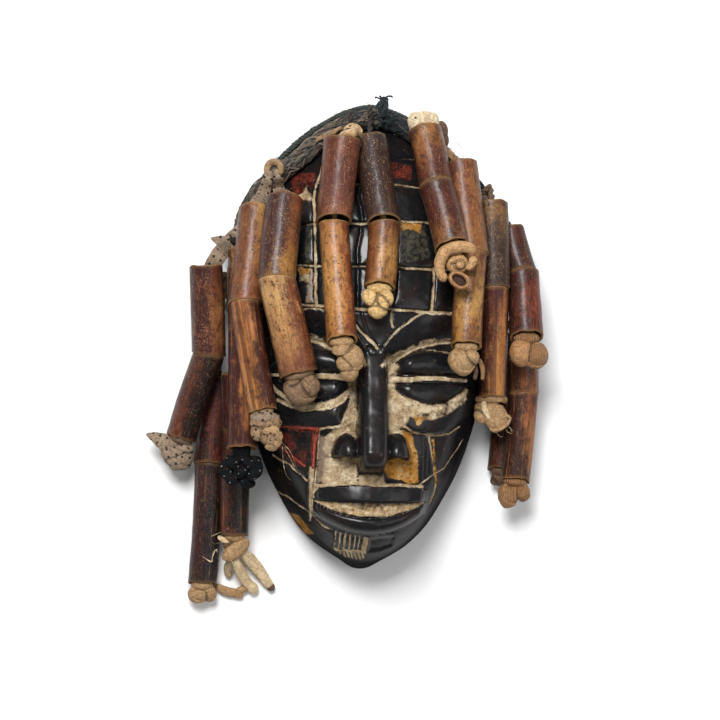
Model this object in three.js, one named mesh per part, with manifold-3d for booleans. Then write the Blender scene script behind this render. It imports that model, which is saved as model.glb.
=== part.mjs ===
// A carved wooden face mask with bamboo dreadlocks, lying on the flat rim of its hollow back.
// Fourteen leather thongs are looped over a fibre roll round the crown. Each carries two bamboo
// tubes, one above the other, and ends in a knot.
// Millimetres. While it is built, x is measured from the mask's centre line, y towards the crown
// from near the bridge of the nose, and z up from the rim's flat back face. The finished group is
// then moved so that the origin is at the bottom centre of the whole object.
import * as THREE from "three";
import { mergeVertices } from "three/addons/utils/BufferGeometryUtils.js";
import Module from "manifold-3d";

const wasm = await Module();
wasm.setup();

// Driving dimensions of the mask
const CROWN_Y = 195;
const CHIN_Y = -161;
const WALL_SIDE = 9;
const WALL_FRONT = 18;
const SECTION_POWER = 2.2;

// Each station of the mask is [y, half width, depth from the rim plane to the middle of the face].
const STATIONS = [
  [CHIN_Y, 0, 0],
  [-153.5, 16, 42],
  [-148, 25, 56],
  [-142, 34, 66],
  [-133, 44, 76],
  [-122, 53, 83],
  [-107, 62, 88],
  [-86, 73, 90],
  [-62, 82, 89],
  [-31, 90, 87],
  [8, 96, 85],
  [46, 97.5, 82],
  [85, 95, 76],
  [124, 86, 65],
  [143, 76, 57],
  [159, 63, 48],
  [174, 46, 36],
  [186, 27, 22],
  [CROWN_Y, 0, 0],
];

// Driving dimensions of the bamboo, leather and fibre
const TUBE_WALL = 2;
const TUBE_SIDES = 10;
const NEST_DEPTH = 2.5;
const JOINT_GAP = 0.5;
const THONG_RADIUS = 3.4;
const STRAP_WIDTH = 14;
const STRAP_THICKNESS = 3.6;
const REST_GAP = 0.7;
const FLOOR_GAP = 0.2;
const ROLL_RADIUS = 7;
const ROLL_INSET = { crown: 12, sides: -3.5 };
const CORD_RADIUS = 2.4;
const CORD_INSET = { crown: 1, sides: -3.2 };
const CROWN_CENTRE_Y = 60;

// The places of a thong's loop over the roll, in degrees from its outer side over its top: one for
// strands that hang inward over the face, and one for those that hang outward beside the mask
const LOOP_INWARD = [45, 75, 105];
const LOOP_OUTWARD = [125, 95, 65, 35];

// The strands, in the order in which they come to lie on the mask, the floor and one another.
// top, joint and end are the plan places [x, y] of the upper tube's mouth, of the meeting of the
// two tubes and of the lower tube's mouth. upper and lower are the tubes' radii, knot is the knot's
// [radius along the strand, radius across it], and anchor is where the thong crosses the roll.
const STRANDS = [
  { name: "left_2", top: [-112, -17], joint: [-117, -83], end: [-120, -174],
    upper: 12.2, lower: 11, knot: [7, 11], anchor: [-98, 62] },
  { name: "left_4", top: [-99, -12], joint: [-97, -56], end: [-97, -136],
    upper: 11.5, lower: 11, knot: [9, 11.5], anchor: [-98, 40], tassel: true,
    loop: [66, 90, 115] },
  { name: "right_6", top: [111, -6], joint: [110, -31], end: [108, -82],
    upper: 10.5, lower: 10.5, knot: [6, 9], anchor: [98, 32] },
  { name: "right_5", top: [119, 4], joint: [121, -23], end: [116, -89],
    upper: 11.4, lower: 11.4, knot: [9.5, 12], anchor: [98, 54] },
  { name: "right_4", top: [106, 101], joint: [115, 68], end: [117, 20],
    upper: 11.2, lower: 12.4, knot: [12, 13], anchor: [95, 112] },
  { name: "right_3", top: [89, 120], joint: [92, 56], end: [94, -25],
    upper: 11.8, lower: 10.6, knot: [13.6, 12.3], anchor: [84, 130] },
  { name: "right_2", top: [63, 148], joint: [72, 80], end: [68, 12],
    upper: 12.6, lower: 11.6, knot: [10, 12], anchor: [52, 173] },
  { name: "centre_2", top: [-5, 163], joint: [5, 100], end: [2, 53],
    upper: 12.4, lower: 11.8, knot: [11, 12], anchor: [-4, 182] },
  { name: "right_1", top: [35, 171], joint: [43, 129], end: [54, 84],
    upper: 12.8, lower: 13, knot: [15, 14], anchor: [33, 186], strap: true },
  { name: "centre_1", top: [-27, 161], joint: [-32, 100], end: [-25, 13],
    upper: 13.4, lower: 11.4, knot: [13, 12], anchor: [-22, 186] },
  { name: "left_1", top: [-124, 67], joint: [-120, 1], end: [-139, -62],
    upper: 13, lower: 12, knot: [13, 15], anchor: [-92, 104], strap: true },
  { name: "left_3", top: [-97, 79], joint: [-95, 20], end: [-94, -68],
    upper: 11.2, lower: 11.2, knot: [16, 15], anchor: [-98, 86] },
  { name: "left_5", top: [-89, 109], joint: [-95, 39], end: [-80, -39],
    upper: 12.4, lower: 10.8, knot: [14, 13], anchor: [-77, 138], strap: true },
  { name: "left_6", top: [-68, 116], joint: [-73, 56], end: [-55, -11],
    upper: 13.8, lower: 14, knot: [11, 14], anchor: [-75, 141], strap: true },
];

// The strands whose lower tube is as dark as the upper one, and the one with a dark thong
const DARK_LOWER_TUBES = ["left_1", "left_2", "left_4", "right_1", "right_4", "right_6"];
const DARK_THONG = "left_3";

// Colours, as the materials below use them
const BLACKENED_WOOD = 0x1d1815;
const SMOKED_BAMBOO = 0x6e3a22;
const GOLDEN_BAMBOO = 0xb07a3c;
const LIGHT_LEATHER = 0xb59468;
const DARK_LEATHER = 0x2a2a2a;
const FIBRE = 0x4a443d;
const DARK_CORD = 0x1b2426;

const clamp = THREE.MathUtils.clamp;
const smooth = THREE.MathUtils.smoothstep;

// A smooth curve through the stations, on the square of the value, so that both ends are round.
function throughStations(y, column) {
  const last = STATIONS.length - 1;
  const inside = clamp(y, CHIN_Y, CROWN_Y);
  let i = 0;
  while (i < last - 1 && STATIONS[i + 1][0] < inside) i += 1;
  const square = (k) => STATIONS[clamp(k, 0, last)][column] ** 2;
  const place = (k) => STATIONS[clamp(k, 0, last)][0];
  const slope = (k) => (square(k + 1) - square(k - 1)) / (place(k + 1) - place(k - 1));
  const span = place(i + 1) - place(i);
  const t = (inside - place(i)) / span;
  const value =
    (2 * t ** 3 - 3 * t ** 2 + 1) * square(i) +
    (t ** 3 - 2 * t ** 2 + t) * span * slope(i) +
    (3 * t ** 2 - 2 * t ** 3) * square(i + 1) +
    (t ** 3 - t ** 2) * span * slope(i + 1);
  return Math.sqrt(Math.max(value, 0));
}

const halfWidth = (y) => throughStations(y, 1);
const depthAt = (y) => throughStations(y, 2);

// 1 inside the span from low to high, easing to 0 over the softness outside it
function within(value, low, high, soft) {
  return smooth(value, low - soft, low) * (1 - smooth(value, high, high + soft));
}

// The height of a round back over a unit span: 1 at 0, and 0 at -1 and 1
function dome(t) {
  return Math.sqrt(Math.max(0, 1 - t * t));
}

// Where y lies in the band from low to high: 0 at its lower edge and 1 at its upper edge
function share(y, low, high) {
  return clamp((y - low) / (high - low), 0, 1);
}

// Nose: a square ridge that deepens to its tip and turns under, with a round wing on each side
function nose(side, y) {
  const [root, tip, base] = [10, -66, -82];
  const rise = 3 + 28 * share(-y, -root, -tip);
  const turn = y > tip ? 1 : dome((tip - y) / (tip - base));
  const back = Math.max(0, 1 - (side / 12) ** 4) ** 0.4;
  const ridge = y > root || y < base ? 0 : rise * turn * back;
  const wing = 17 * dome(Math.hypot((side - 18.5) / 10.5, Math.max(0, y + 68) / 15));
  return Math.max(ridge, y < -70 ? wing * (1 - share(-y, 70, 71.5)) : wing);
}

// Brow, eyelids, eyeball and the bag under the eye, as bands one below the other
function eye(side, y) {
  const along = (side - 44) / 34;
  const bow = dome(along) ** 0.8;
  const browTop = 4 + 33 * Math.sin((Math.PI / 2) * clamp((side - 3.5) / 42, 0, 1.25));
  const browLow = -3 + 19 * Math.sin((Math.PI / 2) * clamp((side - 6) / 52, 0, 1.1));
  const lidTop = -11 + 19 * bow;
  const lidEdge = -11;
  const eyeTop = -16.5;
  const eyeLow = eyeTop - 16 * bow;
  const bagLow = -54 + 10 * along ** 2;
  const reach = within(side, 15, 72, 8);
  if (y > browTop) return 0;
  if (y > browLow) return (-6 + 12 * share(y, browLow, browTop) ** 0.7) * within(side, 6, 80, 6);
  if (y > lidTop) return -7 * reach;
  if (y > lidEdge) return (-7 + 10 * dome(2 * share(y, lidEdge, lidTop) - 1)) * reach;
  if (y > eyeTop) return reach;
  if (y > eyeLow) return (-5 + 5 * dome(2 * share(y, eyeLow, eyeTop) - 1)) * reach;
  if (y > bagLow) return (1 + 4 * dome(2 * share(y, bagLow, eyeLow) - 1)) * reach;
  return 0;
}

// Lips: a thick upper bar over a sloping lower face, and the swell of the lower lip under it
function mouth(x, y) {
  const across = clamp(x / 41, -1, 1);
  const top = -91 - 2.5 * across ** 2;
  const slit = -103;
  const face = slit - 1.5 - 10 * (1 - across ** 2);
  const chin = -128 + 14 * across ** 2;
  const corner = 1 - smooth(Math.abs(x), 37, 46);
  if (y > top) return 0;
  if (y > slit) return (9 - 3 * share(y, slit, top)) * corner;
  if (y > face) return (7 - 4 * share(y, face, slit)) * corner;
  if (y > chin) return (2 + 8 * dome(1 - 2 * share(y, chin, face))) * corner;
  return 0;
}

// The carving on the front of the mask: how far the wood stands proud of the plain form
function carving(x, y) {
  const side = Math.abs(x);
  const trough = -8 * within(y, -40, -2, 9) * within(side, 0, 13, 16);
  const cheek = -2.5 * within(y, -86, -56, 5) * within(side, 0, 39, 4);
  const hollows = eye(side, y) + trough + cheek;
  const ridge = nose(side, y);
  return (ridge > 0 ? Math.max(ridge, hollows) : hollows) + mouth(x, y);
}

// Height of the mask's front over the rim plane, or below everything outside its outline
function surface(x, y, carved = true) {
  const half = halfWidth(y);
  if (Math.abs(x) >= half || y <= CHIN_Y || y >= CROWN_Y) return -1000;
  const arch = (1 - (Math.abs(x) / half) ** SECTION_POWER) ** (1 / SECTION_POWER);
  const relief = carved ? carving(x, y) * smooth(arch, 0.15, 0.6) : 0;
  return depthAt(y) * arch + relief;
}

// A closed mesh as a solid that can be joined and cut
function solid(geometry) {
  const bare = new THREE.BufferGeometry();
  bare.setAttribute("position", geometry.getAttribute("position"));
  if (geometry.index) bare.setIndex(geometry.index);
  const merged = mergeVertices(bare, 1e-4);
  return new wasm.Manifold(
    new wasm.Mesh({
      numProp: 3,
      vertProperties: new Float32Array(merged.getAttribute("position").array),
      triVerts: new Uint32Array(merged.index.array),
    }),
  );
}

// A solid as a geometry again
function geometryOf(manifold) {
  const mesh = manifold.getMesh();
  const geometry = new THREE.BufferGeometry();
  geometry.setAttribute("position", new THREE.BufferAttribute(mesh.vertProperties, 3));
  geometry.setIndex(new THREE.BufferAttribute(mesh.triVerts, 1));
  geometry.computeVertexNormals();
  return geometry;
}

// Columns of points over one arch of the mask: close together at the nose, spread on the cheeks
const MIDDLE_COLUMNS = [0, 7, 11.5, 17, 24, 32, 41];
const OUTER_SHARES = [0.22, 0.47, 0.68, 0.85, 0.96, 1];
function columnsAt(half) {
  const scale = Math.min(1, half / 74);
  const last = MIDDLE_COLUMNS[MIDDLE_COLUMNS.length - 1] * scale;
  const right = [
    ...MIDDLE_COLUMNS.map((x) => x * scale),
    ...OUTER_SHARES.map((part) => last + (half - last) * part),
  ];
  const left = right.slice(1).reverse().map((x) => -x);
  return [...left, ...right];
}

// A solid lofted from rows of points. Each row runs from one edge to the other, and the rows are
// closed below by a flat floor and at both ends by a fan to the middle of the end row.
function loftRows(rows) {
  const count = rows[0].length;
  const positions = rows.flat(2);
  const faces = [];
  const at = (row, column) => row * count + column;
  for (let row = 0; row < rows.length - 1; row += 1) {
    for (let column = 0; column < count; column += 1) {
      const next = (column + 1) % count;
      faces.push(at(row, column), at(row + 1, next), at(row + 1, column));
      faces.push(at(row, column), at(row, next), at(row + 1, next));
    }
  }
  [0, rows.length - 1].forEach((row) => {
    const middle = positions.length / 3;
    const low = rows[row].reduce((sum, point) => sum + point[2], 0) / count;
    positions.push(0, rows[row][0][1], low);
    for (let column = 0; column < count; column += 1) {
      const next = (column + 1) % count;
      if (row === 0) faces.push(at(row, next), at(row, column), middle);
      else faces.push(at(row, column), at(row, next), middle);
    }
  });
  const geometry = new THREE.BufferGeometry();
  geometry.setAttribute("position", new THREE.Float32BufferAttribute(positions, 3));
  geometry.setIndex(faces);
  return solid(geometry);
}

// Rows are close together at the ends, where the outline turns, and over the features.
const MASK_ROWS = [
  -160.4, -158, -154, -149, -143, -136, -129, -125, -116, -106, -103.5, -101.5, -97, -92.5,
  -89.5, -80.5, -77.5, -72, -69, -64, -57, -50, -42, -34, -26, -18, -14.5, -11, -4, 2, 5.5,
  9, 14, 20, 27, 34, 38.5, 48, 62, 80, 98, 115, 130, 145, 158, 169, 179, 187, 192, 194.4,
];

// The hollow behind the face, which is cut from a little below the rim plane
const HOLLOW_ROWS = [-150, -143, -130, -110, -80, -40, 0, 46, 85, 120, 145, 162, 175, 184];
const HOLLOW_COLUMNS = [-1, -0.95, -0.8, -0.55, -0.28, 0, 0.28, 0.55, 0.8, 0.95, 1];
const CUT_DEPTH = 5;

function maskBody() {
  const front = MASK_ROWS.map((y) => {
    const half = halfWidth(y);
    return columnsAt(half).map((x) => [x, y, Math.max(0, surface(x, y))]);
  });
  const hollow = HOLLOW_ROWS.map((y) => {
    const half = Math.max(4, halfWidth(y) - WALL_SIDE);
    const depth = Math.max(6, depthAt(y) - WALL_FRONT);
    const arch = HOLLOW_COLUMNS.map((part) => [
      part * half,
      y,
      depth * (1 - Math.abs(part) ** SECTION_POWER) ** (1 / SECTION_POWER),
    ]);
    return [[-half, y, -CUT_DEPTH], ...arch, [half, y, -CUT_DEPTH]];
  });
  return loftRows(front).subtract(loftRows(hollow));
}

// Lowest height at which a ball at [x, y] clears the floor, the mask and what already lies there
function restHeight(x, y, radius, placed) {
  let height = radius + FLOOR_GAP;
  for (const part of [0, 0.45, 0.75, 0.95]) {
    for (let i = 0; i < 12; i += 1) {
      const angle = (Math.PI * i) / 6;
      const under = surface(
        x + radius * part * Math.cos(angle),
        y + radius * part * Math.sin(angle),
      );
      height = Math.max(height, under + radius * dome(part) + REST_GAP);
    }
  }
  for (const ball of placed) {
    const reach = radius + ball.radius + REST_GAP;
    const flat = Math.hypot(x - ball.x, y - ball.y);
    if (flat < reach) height = Math.max(height, ball.z + Math.sqrt(reach ** 2 - flat ** 2));
  }
  return height;
}

// The path of a binding round the crown, resting on the mask. Its inset from the outline eases
// from one value at the sides to another at the crown.
const BINDING_START = -16;
const BINDING_END = 196;
function bindingPath(radius, inset, count) {
  return Array.from({ length: count }, (_, i) => {
    const degrees = BINDING_START + ((BINDING_END - BINDING_START) * i) / (count - 1);
    const across = Math.cos(THREE.MathUtils.degToRad(degrees));
    const along = Math.sin(THREE.MathUtils.degToRad(degrees));
    let reach = 60;
    while (
      CROWN_CENTRE_Y + reach * along < CROWN_Y &&
      Math.abs(reach * across) < halfWidth(CROWN_CENTRE_Y + reach * along)
    )
      reach += 0.25;
    const crown = 1 - smooth(Math.abs(degrees - 90), 30, 65);
    reach -= inset.sides + (inset.crown - inset.sides) * crown;
    const x = reach * across;
    const y = CROWN_CENTRE_Y + reach * along;
    return new THREE.Vector3(x, y, restHeight(x, y, radius, []));
  });
}

// A bar along a curve through the points. Its section is turned so that the section's own x axis
// starts out along the given direction.
function bar(points, section, steps, wide = null) {
  const curve = new THREE.CatmullRomCurve3(points, false, "centripetal");
  const frames = curve.computeFrenetFrames(steps, false);
  const turn = wide ? Math.atan2(wide.dot(frames.binormals[0]), wide.dot(frames.normals[0])) : 0;
  const shape = new THREE.Shape(
    section.map((corner) => corner.clone().rotateAround(new THREE.Vector2(), turn)),
  );
  return new THREE.ExtrudeGeometry(shape, { extrudePath: curve, steps });
}

function roundSection(radius, sides) {
  return Array.from({ length: sides }, (_, i) => {
    const angle = (2 * Math.PI * (i + 0.5)) / sides;
    return new THREE.Vector2(radius * Math.cos(angle), radius * Math.sin(angle));
  });
}

function strapSection(width, thickness) {
  const flat = (width - thickness) / 2;
  return [
    [-width / 2, 0],
    [-flat, -thickness / 2],
    [flat, -thickness / 2],
    [width / 2, 0],
    [flat, thickness / 2],
    [-flat, thickness / 2],
  ].map(([x, y]) => new THREE.Vector2(x, y));
}

const rollPath = bindingPath(ROLL_RADIUS, ROLL_INSET, 27);
const rollCurve = new THREE.CatmullRomCurve3(rollPath, false, "centripetal");

// A strand's heights: the joint is tried from low to high, and each tube then pivots down about it
// until it touches. The lowest total is how the strand lies.
function settle(strand, placed) {
  const samples = Array.from({ length: 15 }, (_, i) => i / 15);
  const mix = (a, b, t) => [a[0] + (b[0] - a[0]) * t, a[1] + (b[1] - a[1]) * t];
  const rests = (from, to, radius) =>
    samples.map((t) => ({ t, z: restHeight(...mix(from, to, t), radius, placed) }));
  const upper = rests(strand.top, strand.joint, strand.upper);
  const lower = rests(strand.end, strand.joint, strand.lower);
  const length = Math.hypot(strand.end[0] - strand.joint[0], strand.end[1] - strand.joint[1]);
  const beyond = strand.knot[0] / length;
  const knotPlace = mix(strand.joint, strand.end, 1 + beyond);
  const knotRest = restHeight(...knotPlace, strand.knot[1], placed);
  const wide = Math.max(strand.upper, strand.lower);
  const jointRest = restHeight(...strand.joint, wide, placed);
  let best = null;
  for (let z = jointRest; z < jointRest + 60; z += 0.5) {
    const pivot = (rest) => (rest.z - rest.t * z) / (1 - rest.t);
    const top = Math.max(...upper.map(pivot));
    const end = Math.max(...lower.map(pivot), (knotRest + beyond * z) / (1 + beyond));
    const total = top + 2 * z + end;
    if (!best || total < best.total) best = { total, top, joint: z, end };
  }
  const point = ([x, y], z) => new THREE.Vector3(x, y, z);
  const top = point(strand.top, best.top);
  const joint = point(strand.joint, best.joint);
  const end = point(strand.end, best.end);
  return { ...strand, top, joint, end };
}

// The balls that stand for a settled strand while later ones are laid on it
function ballsOf({ top, joint, end, upper, lower, knot }) {
  const balls = [];
  const add = (from, to, radius) => {
    const count = Math.ceil(from.distanceTo(to) / 3);
    for (let i = 0; i <= count; i += 1)
      balls.push({ ...from.clone().lerp(to, i / count), radius });
  };
  add(top, joint, upper);
  add(joint, end, lower);
  const away = end.clone().sub(joint).normalize();
  balls.push({ ...end.clone().addScaledVector(away, knot[0]), radius: knot[1] });
  return balls;
}

// A bamboo tube from one point to another. An end can be cut on a slant, square to the given
// direction, through the end point.
function tube(from, to, radius, slantFrom, slantTo) {
  const length = from.distanceTo(to);
  const bore = radius - TUBE_WALL;
  const profile = [
    [bore, 0],
    [radius, 0],
    [radius, length],
    [bore, length],
    [bore, 0],
  ].map(([x, y]) => new THREE.Vector2(x, y));
  const axis = to.clone().sub(from).normalize();
  const geometry = new THREE.LatheGeometry(profile, TUBE_SIDES);
  const turn = new THREE.Quaternion().setFromUnitVectors(new THREE.Vector3(0, 1, 0), axis);
  geometry.applyQuaternion(turn).translate(from.x, from.y, from.z);
  const position = geometry.getAttribute("position");
  const point = new THREE.Vector3();
  for (let i = 0; i < position.count; i += 1) {
    point.fromBufferAttribute(position, i);
    const atEnd = point.clone().sub(from).dot(axis) > length / 2;
    const normal = atEnd ? slantTo : slantFrom;
    if (!normal) continue;
    const off = point.clone().sub(atEnd ? to : from).dot(normal) / axis.dot(normal);
    point.addScaledVector(axis, -off);
    position.setXYZ(i, point.x, point.y, point.z);
  }
  return new THREE.Mesh(geometry);
}

// A lumpy knot with three lobes, longest across the strand
function knotSolid(centre, away, along, across) {
  const geometry = new THREE.IcosahedronGeometry(1, 1);
  const position = geometry.getAttribute("position");
  const point = new THREE.Vector3();
  const turn = new THREE.Quaternion().setFromUnitVectors(new THREE.Vector3(0, 1, 0), away);
  for (let i = 0; i < position.count; i += 1) {
    point.fromBufferAttribute(position, i);
    const lobes = 1 + 0.1 * Math.cos(3 * Math.atan2(point.z, point.x)) * Math.hypot(point.x, point.z);
    point.set(point.x * across * lobes, point.y * along, point.z * across * lobes * 0.85);
    point.applyQuaternion(turn).add(centre);
    position.setXYZ(i, point.x, point.y, point.z);
  }
  return solid(geometry);
}

// The loose tails below the knot of one strand, each a short thick strip
const TASSEL_TAILS = [
  { to: [26, -36], radius: 3.6 },
  { to: [12, -30], radius: 4 },
  { to: [-2, -37], radius: 3.8 },
  { to: [3, -20], radius: 3 },
];
function tasselTails(knotCentre) {
  return TASSEL_TAILS.map(({ to, radius }) => {
    const end = new THREE.Vector3(knotCentre.x + to[0], knotCentre.y + to[1], radius + 0.3);
    const middle = knotCentre.clone().lerp(end, 0.55);
    middle.z = Math.max(radius + 1, middle.z - 1);
    return solid(bar([knotCentre.clone(), middle, end], roundSection(radius, 5), 2));
  });
}

// How far a thong stands off whatever it crosses
function thongReach(strand) {
  return strand.strap ? STRAP_THICKNESS / 2 + 0.8 : THONG_RADIUS + 0.6;
}

// The first stretch of a thong: round the roll, and along the mask to the upper tube's mouth
function thongHead(strand, placed) {
  const [x, y] = strand.anchor;
  let nearest = rollPath[0];
  for (const point of rollCurve.getSpacedPoints(120))
    if (Math.hypot(point.x - x, point.y - y) < Math.hypot(nearest.x - x, nearest.y - y))
      nearest = point;
  const outward = new THREE.Vector3(nearest.x, nearest.y - CROWN_CENTRE_Y, 0).normalize();
  const over = (degrees) => {
    const angle = THREE.MathUtils.degToRad(degrees);
    const reach = ROLL_RADIUS + thongReach(strand);
    return nearest
      .clone()
      .addScaledVector(outward, Math.cos(angle) * reach)
      .add(new THREE.Vector3(0, 0, Math.sin(angle) * reach));
  };
  const hangsOutside = strand.top.clone().sub(nearest).dot(outward) > 0;
  const loop = strand.loop ?? (hangsOutside ? LOOP_OUTWARD : LOOP_INWARD);
  const head = loop.map(over);
  const back = strand.top.clone().sub(strand.joint).normalize();
  const mouth = strand.top.clone().addScaledVector(back, 1);
  const last = head[head.length - 1];
  const gap = last.distanceTo(mouth);
  const steps = Math.floor(gap / 12);
  for (let i = 1; i <= steps; i += 1) {
    const point = last.clone().lerp(mouth, i / (steps + 1));
    point.z = Math.max(point.z, restHeight(point.x, point.y, thongReach(strand), placed));
    head.push(point);
  }
  head.push(mouth);
  head.along = new THREE.Vector3(-outward.y, outward.x, 0);
  return head;
}

// The whole thong: its head, then down through both tubes to the knot
function thongSolid(strand, head) {
  const { top, joint, end, knot, strap } = strand;
  const inTube = (from, to, distance) =>
    from.clone().addScaledVector(to.clone().sub(from).normalize(), distance);
  const away = end.clone().sub(joint).normalize();
  const centre = end.clone().addScaledVector(away, knot[0] + 0.8);
  const points = [...head, inTube(top, joint, 14), joint, inTube(end, joint, 14), centre];
  const section = strap
    ? strapSection(STRAP_WIDTH, STRAP_THICKNESS)
    : roundSection(THONG_RADIUS, 4);
  let made = solid(bar(points, section, points.length + 1, head.along));
  made = made.add(knotSolid(centre, away, knot[0], knot[1]));
  if (strand.tassel) tasselTails(centre).forEach((tail) => (made = made.add(tail)));
  return made;
}

// Materials
function material(color, roughness) {
  return new THREE.MeshStandardMaterial({ color, roughness, metalness: 0 });
}
const woodFinish = material(BLACKENED_WOOD, 0.4);
const smokedFinish = material(SMOKED_BAMBOO, 0.45);
const goldenFinish = material(GOLDEN_BAMBOO, 0.5);
const leatherFinish = material(LIGHT_LEATHER, 0.85);
const darkLeatherFinish = material(DARK_LEATHER, 0.85);
const fibreFinish = material(FIBRE, 0.95);
const cordFinish = material(DARK_CORD, 0.9);

const object = new THREE.Group();
function place(name, mesh, finish) {
  mesh.name = name;
  mesh.material = finish;
  object.add(mesh);
}
function placeSolid(name, manifold, finish) {
  place(name, new THREE.Mesh(geometryOf(manifold)), finish);
}

// The mask and the two bindings round its crown
placeSolid("carved_mask", maskBody(), woodFinish);
const rollSolid = solid(bar(rollPath, roundSection(ROLL_RADIUS, 7), 30));
const rollClearance = solid(bar(rollPath, roundSection(ROLL_RADIUS + 0.5, 7), 30));
placeSolid("crown_roll", rollSolid, fibreFinish);
const cordPath = bindingPath(CORD_RADIUS, CORD_INSET, 27);
placeSolid("edge_cord", solid(bar(cordPath, roundSection(CORD_RADIUS, 5), 28)), cordFinish);

// The twist of light cord that lies along the roll at the crown, and the dark tuft tied beside it
function alongRoll(x, lift) {
  const rise = ROLL_RADIUS + lift;
  const point = rollCurve
    .getSpacedPoints(120)
    .reduce((a, b) => (Math.abs(a.x - x) < Math.abs(b.x - x) ? a : b));
  return new THREE.Vector3(x, point.y, point.z + rise);
}
const twist = [-44, -38, -32, -26].map((x) => alongRoll(x, 3.2));
placeSolid("light_cord", solid(bar(twist, roundSection(2.6, 5), 5)), leatherFinish);
const tuftRoot = alongRoll(8, 4);
const tuftEnds = [
  [-4, 13, 3],
  [3, 16, 6],
  [12, 9, 2],
];
const tuft = tuftEnds
  .map(([x, y, z]) => {
    const middle = tuftRoot.clone().add(new THREE.Vector3(x * 0.3, y * 0.6, z * 1.2));
    const end = tuftRoot.clone().add(new THREE.Vector3(x, y, z));
    return solid(bar([tuftRoot.clone(), middle, end], roundSection(2.2, 5), 3));
  })
  .reduce((a, b) => a.add(b));
placeSolid("thread_tuft", tuft, cordFinish);

// The strands: two tubes each, then the thong. A narrower lower tube slips into the upper one.
const placed = rollCurve.getSpacedPoints(90).map((point) => ({ ...point, radius: ROLL_RADIUS }));
const thongs = {};
for (const plan of STRANDS) {
  const strand = settle(plan, placed);
  const head = thongHead(strand, placed);
  placed.push(...ballsOf(strand));
  for (const point of new THREE.CatmullRomCurve3(head, false, "centripetal").getSpacedPoints(24))
    placed.push({ ...point, radius: thongReach(strand) });
  const { name, top, joint, end, upper, lower } = strand;
  const towards = end.clone().sub(joint).normalize();
  const back = top.clone().sub(joint).normalize();
  const bend = Math.PI - towards.angleTo(back);
  const room = upper - TUBE_WALL - 0.2;
  const slipsIn = lower / Math.cos(bend) + NEST_DEPTH * Math.tan(bend) < room;
  const slant = slipsIn ? null : back.clone().sub(towards).normalize();
  const upperEnd = joint.clone().addScaledVector(back, slipsIn ? 0 : JOINT_GAP);
  const lowerTop = joint.clone().addScaledVector(towards, slipsIn ? -NEST_DEPTH : JOINT_GAP);
  place(`${name}_upper_tube`, tube(top, upperEnd, upper, null, slant), smokedFinish);
  const lowerFinish = DARK_LOWER_TUBES.includes(name) ? smokedFinish : goldenFinish;
  place(`${name}_lower_tube`, tube(lowerTop, end, lower, slant, null), lowerFinish);
  thongs[name] = thongSolid(strand, head).subtract(rollClearance);
}
thongs.left_5 = thongs.left_5.add(thongs.left_6);
delete thongs.left_6;
for (const [name, manifold] of Object.entries(thongs))
  placeSolid(`${name}_thong`, manifold, name === DARK_THONG ? darkLeatherFinish : leatherFinish);

// The origin is at the bottom centre of the whole object.
const box = new THREE.Box3().setFromObject(object, true);
object.position.set(-(box.min.x + box.max.x) / 2, -(box.min.y + box.max.y) / 2, -box.min.z);

const part = new THREE.Group();
part.add(object);
export default part;
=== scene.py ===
"""The finished looks of a carved face mask with bamboo dreadlocks, lying on the flat rim of its back.

Every length in the tables is in millimetres, from the mask's own centre line, as it was carved.
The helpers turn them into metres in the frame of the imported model.
"""

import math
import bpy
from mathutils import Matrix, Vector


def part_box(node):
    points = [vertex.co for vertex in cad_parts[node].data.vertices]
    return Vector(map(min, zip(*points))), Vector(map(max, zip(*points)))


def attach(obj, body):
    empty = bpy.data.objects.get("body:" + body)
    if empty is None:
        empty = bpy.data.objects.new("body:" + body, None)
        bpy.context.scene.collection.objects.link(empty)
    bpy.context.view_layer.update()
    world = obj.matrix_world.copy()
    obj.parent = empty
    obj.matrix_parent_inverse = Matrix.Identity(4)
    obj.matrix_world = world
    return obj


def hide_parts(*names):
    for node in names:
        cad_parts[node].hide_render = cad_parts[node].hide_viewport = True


bl_info = {
    "name": "Bamboo Dreadlock Mask",
    "version": (1, 0, 0),
    "blender": (4, 5, 0),
    "location": "View3D > Sidebar > Mask",
    "description": "Carves the mask and makes its bamboo, leather and fibre, with a plain studio",
    "category": "Object",
}

import bmesh
import bpy
import numpy as np
from bpy.props import FloatProperty, FloatVectorProperty, IntProperty, PointerProperty
from mathutils import Matrix, Vector, noise

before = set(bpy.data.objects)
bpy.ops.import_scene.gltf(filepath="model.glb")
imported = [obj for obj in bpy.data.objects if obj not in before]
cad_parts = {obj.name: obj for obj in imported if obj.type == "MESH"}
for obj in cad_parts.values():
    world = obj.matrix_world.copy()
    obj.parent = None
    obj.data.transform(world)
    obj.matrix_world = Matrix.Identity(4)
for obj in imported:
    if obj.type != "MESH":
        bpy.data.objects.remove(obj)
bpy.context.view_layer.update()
MASK_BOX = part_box("carved_mask")

MM = 0.001
SHIFT = Vector(((MASK_BOX[0].x + MASK_BOX[1].x) / 2, MASK_BOX[1].y - 194.4 * MM, 0.0))


def tint(code):
    """A web colour as the linear red, green and blue that shaders use."""
    parts = [int(code[i : i + 2], 16) / 255 for i in (0, 2, 4)]
    return tuple(p / 12.92 if p <= 0.04045 else ((p + 0.055) / 1.055) ** 2.4 for p in parts)


# Settings


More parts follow.
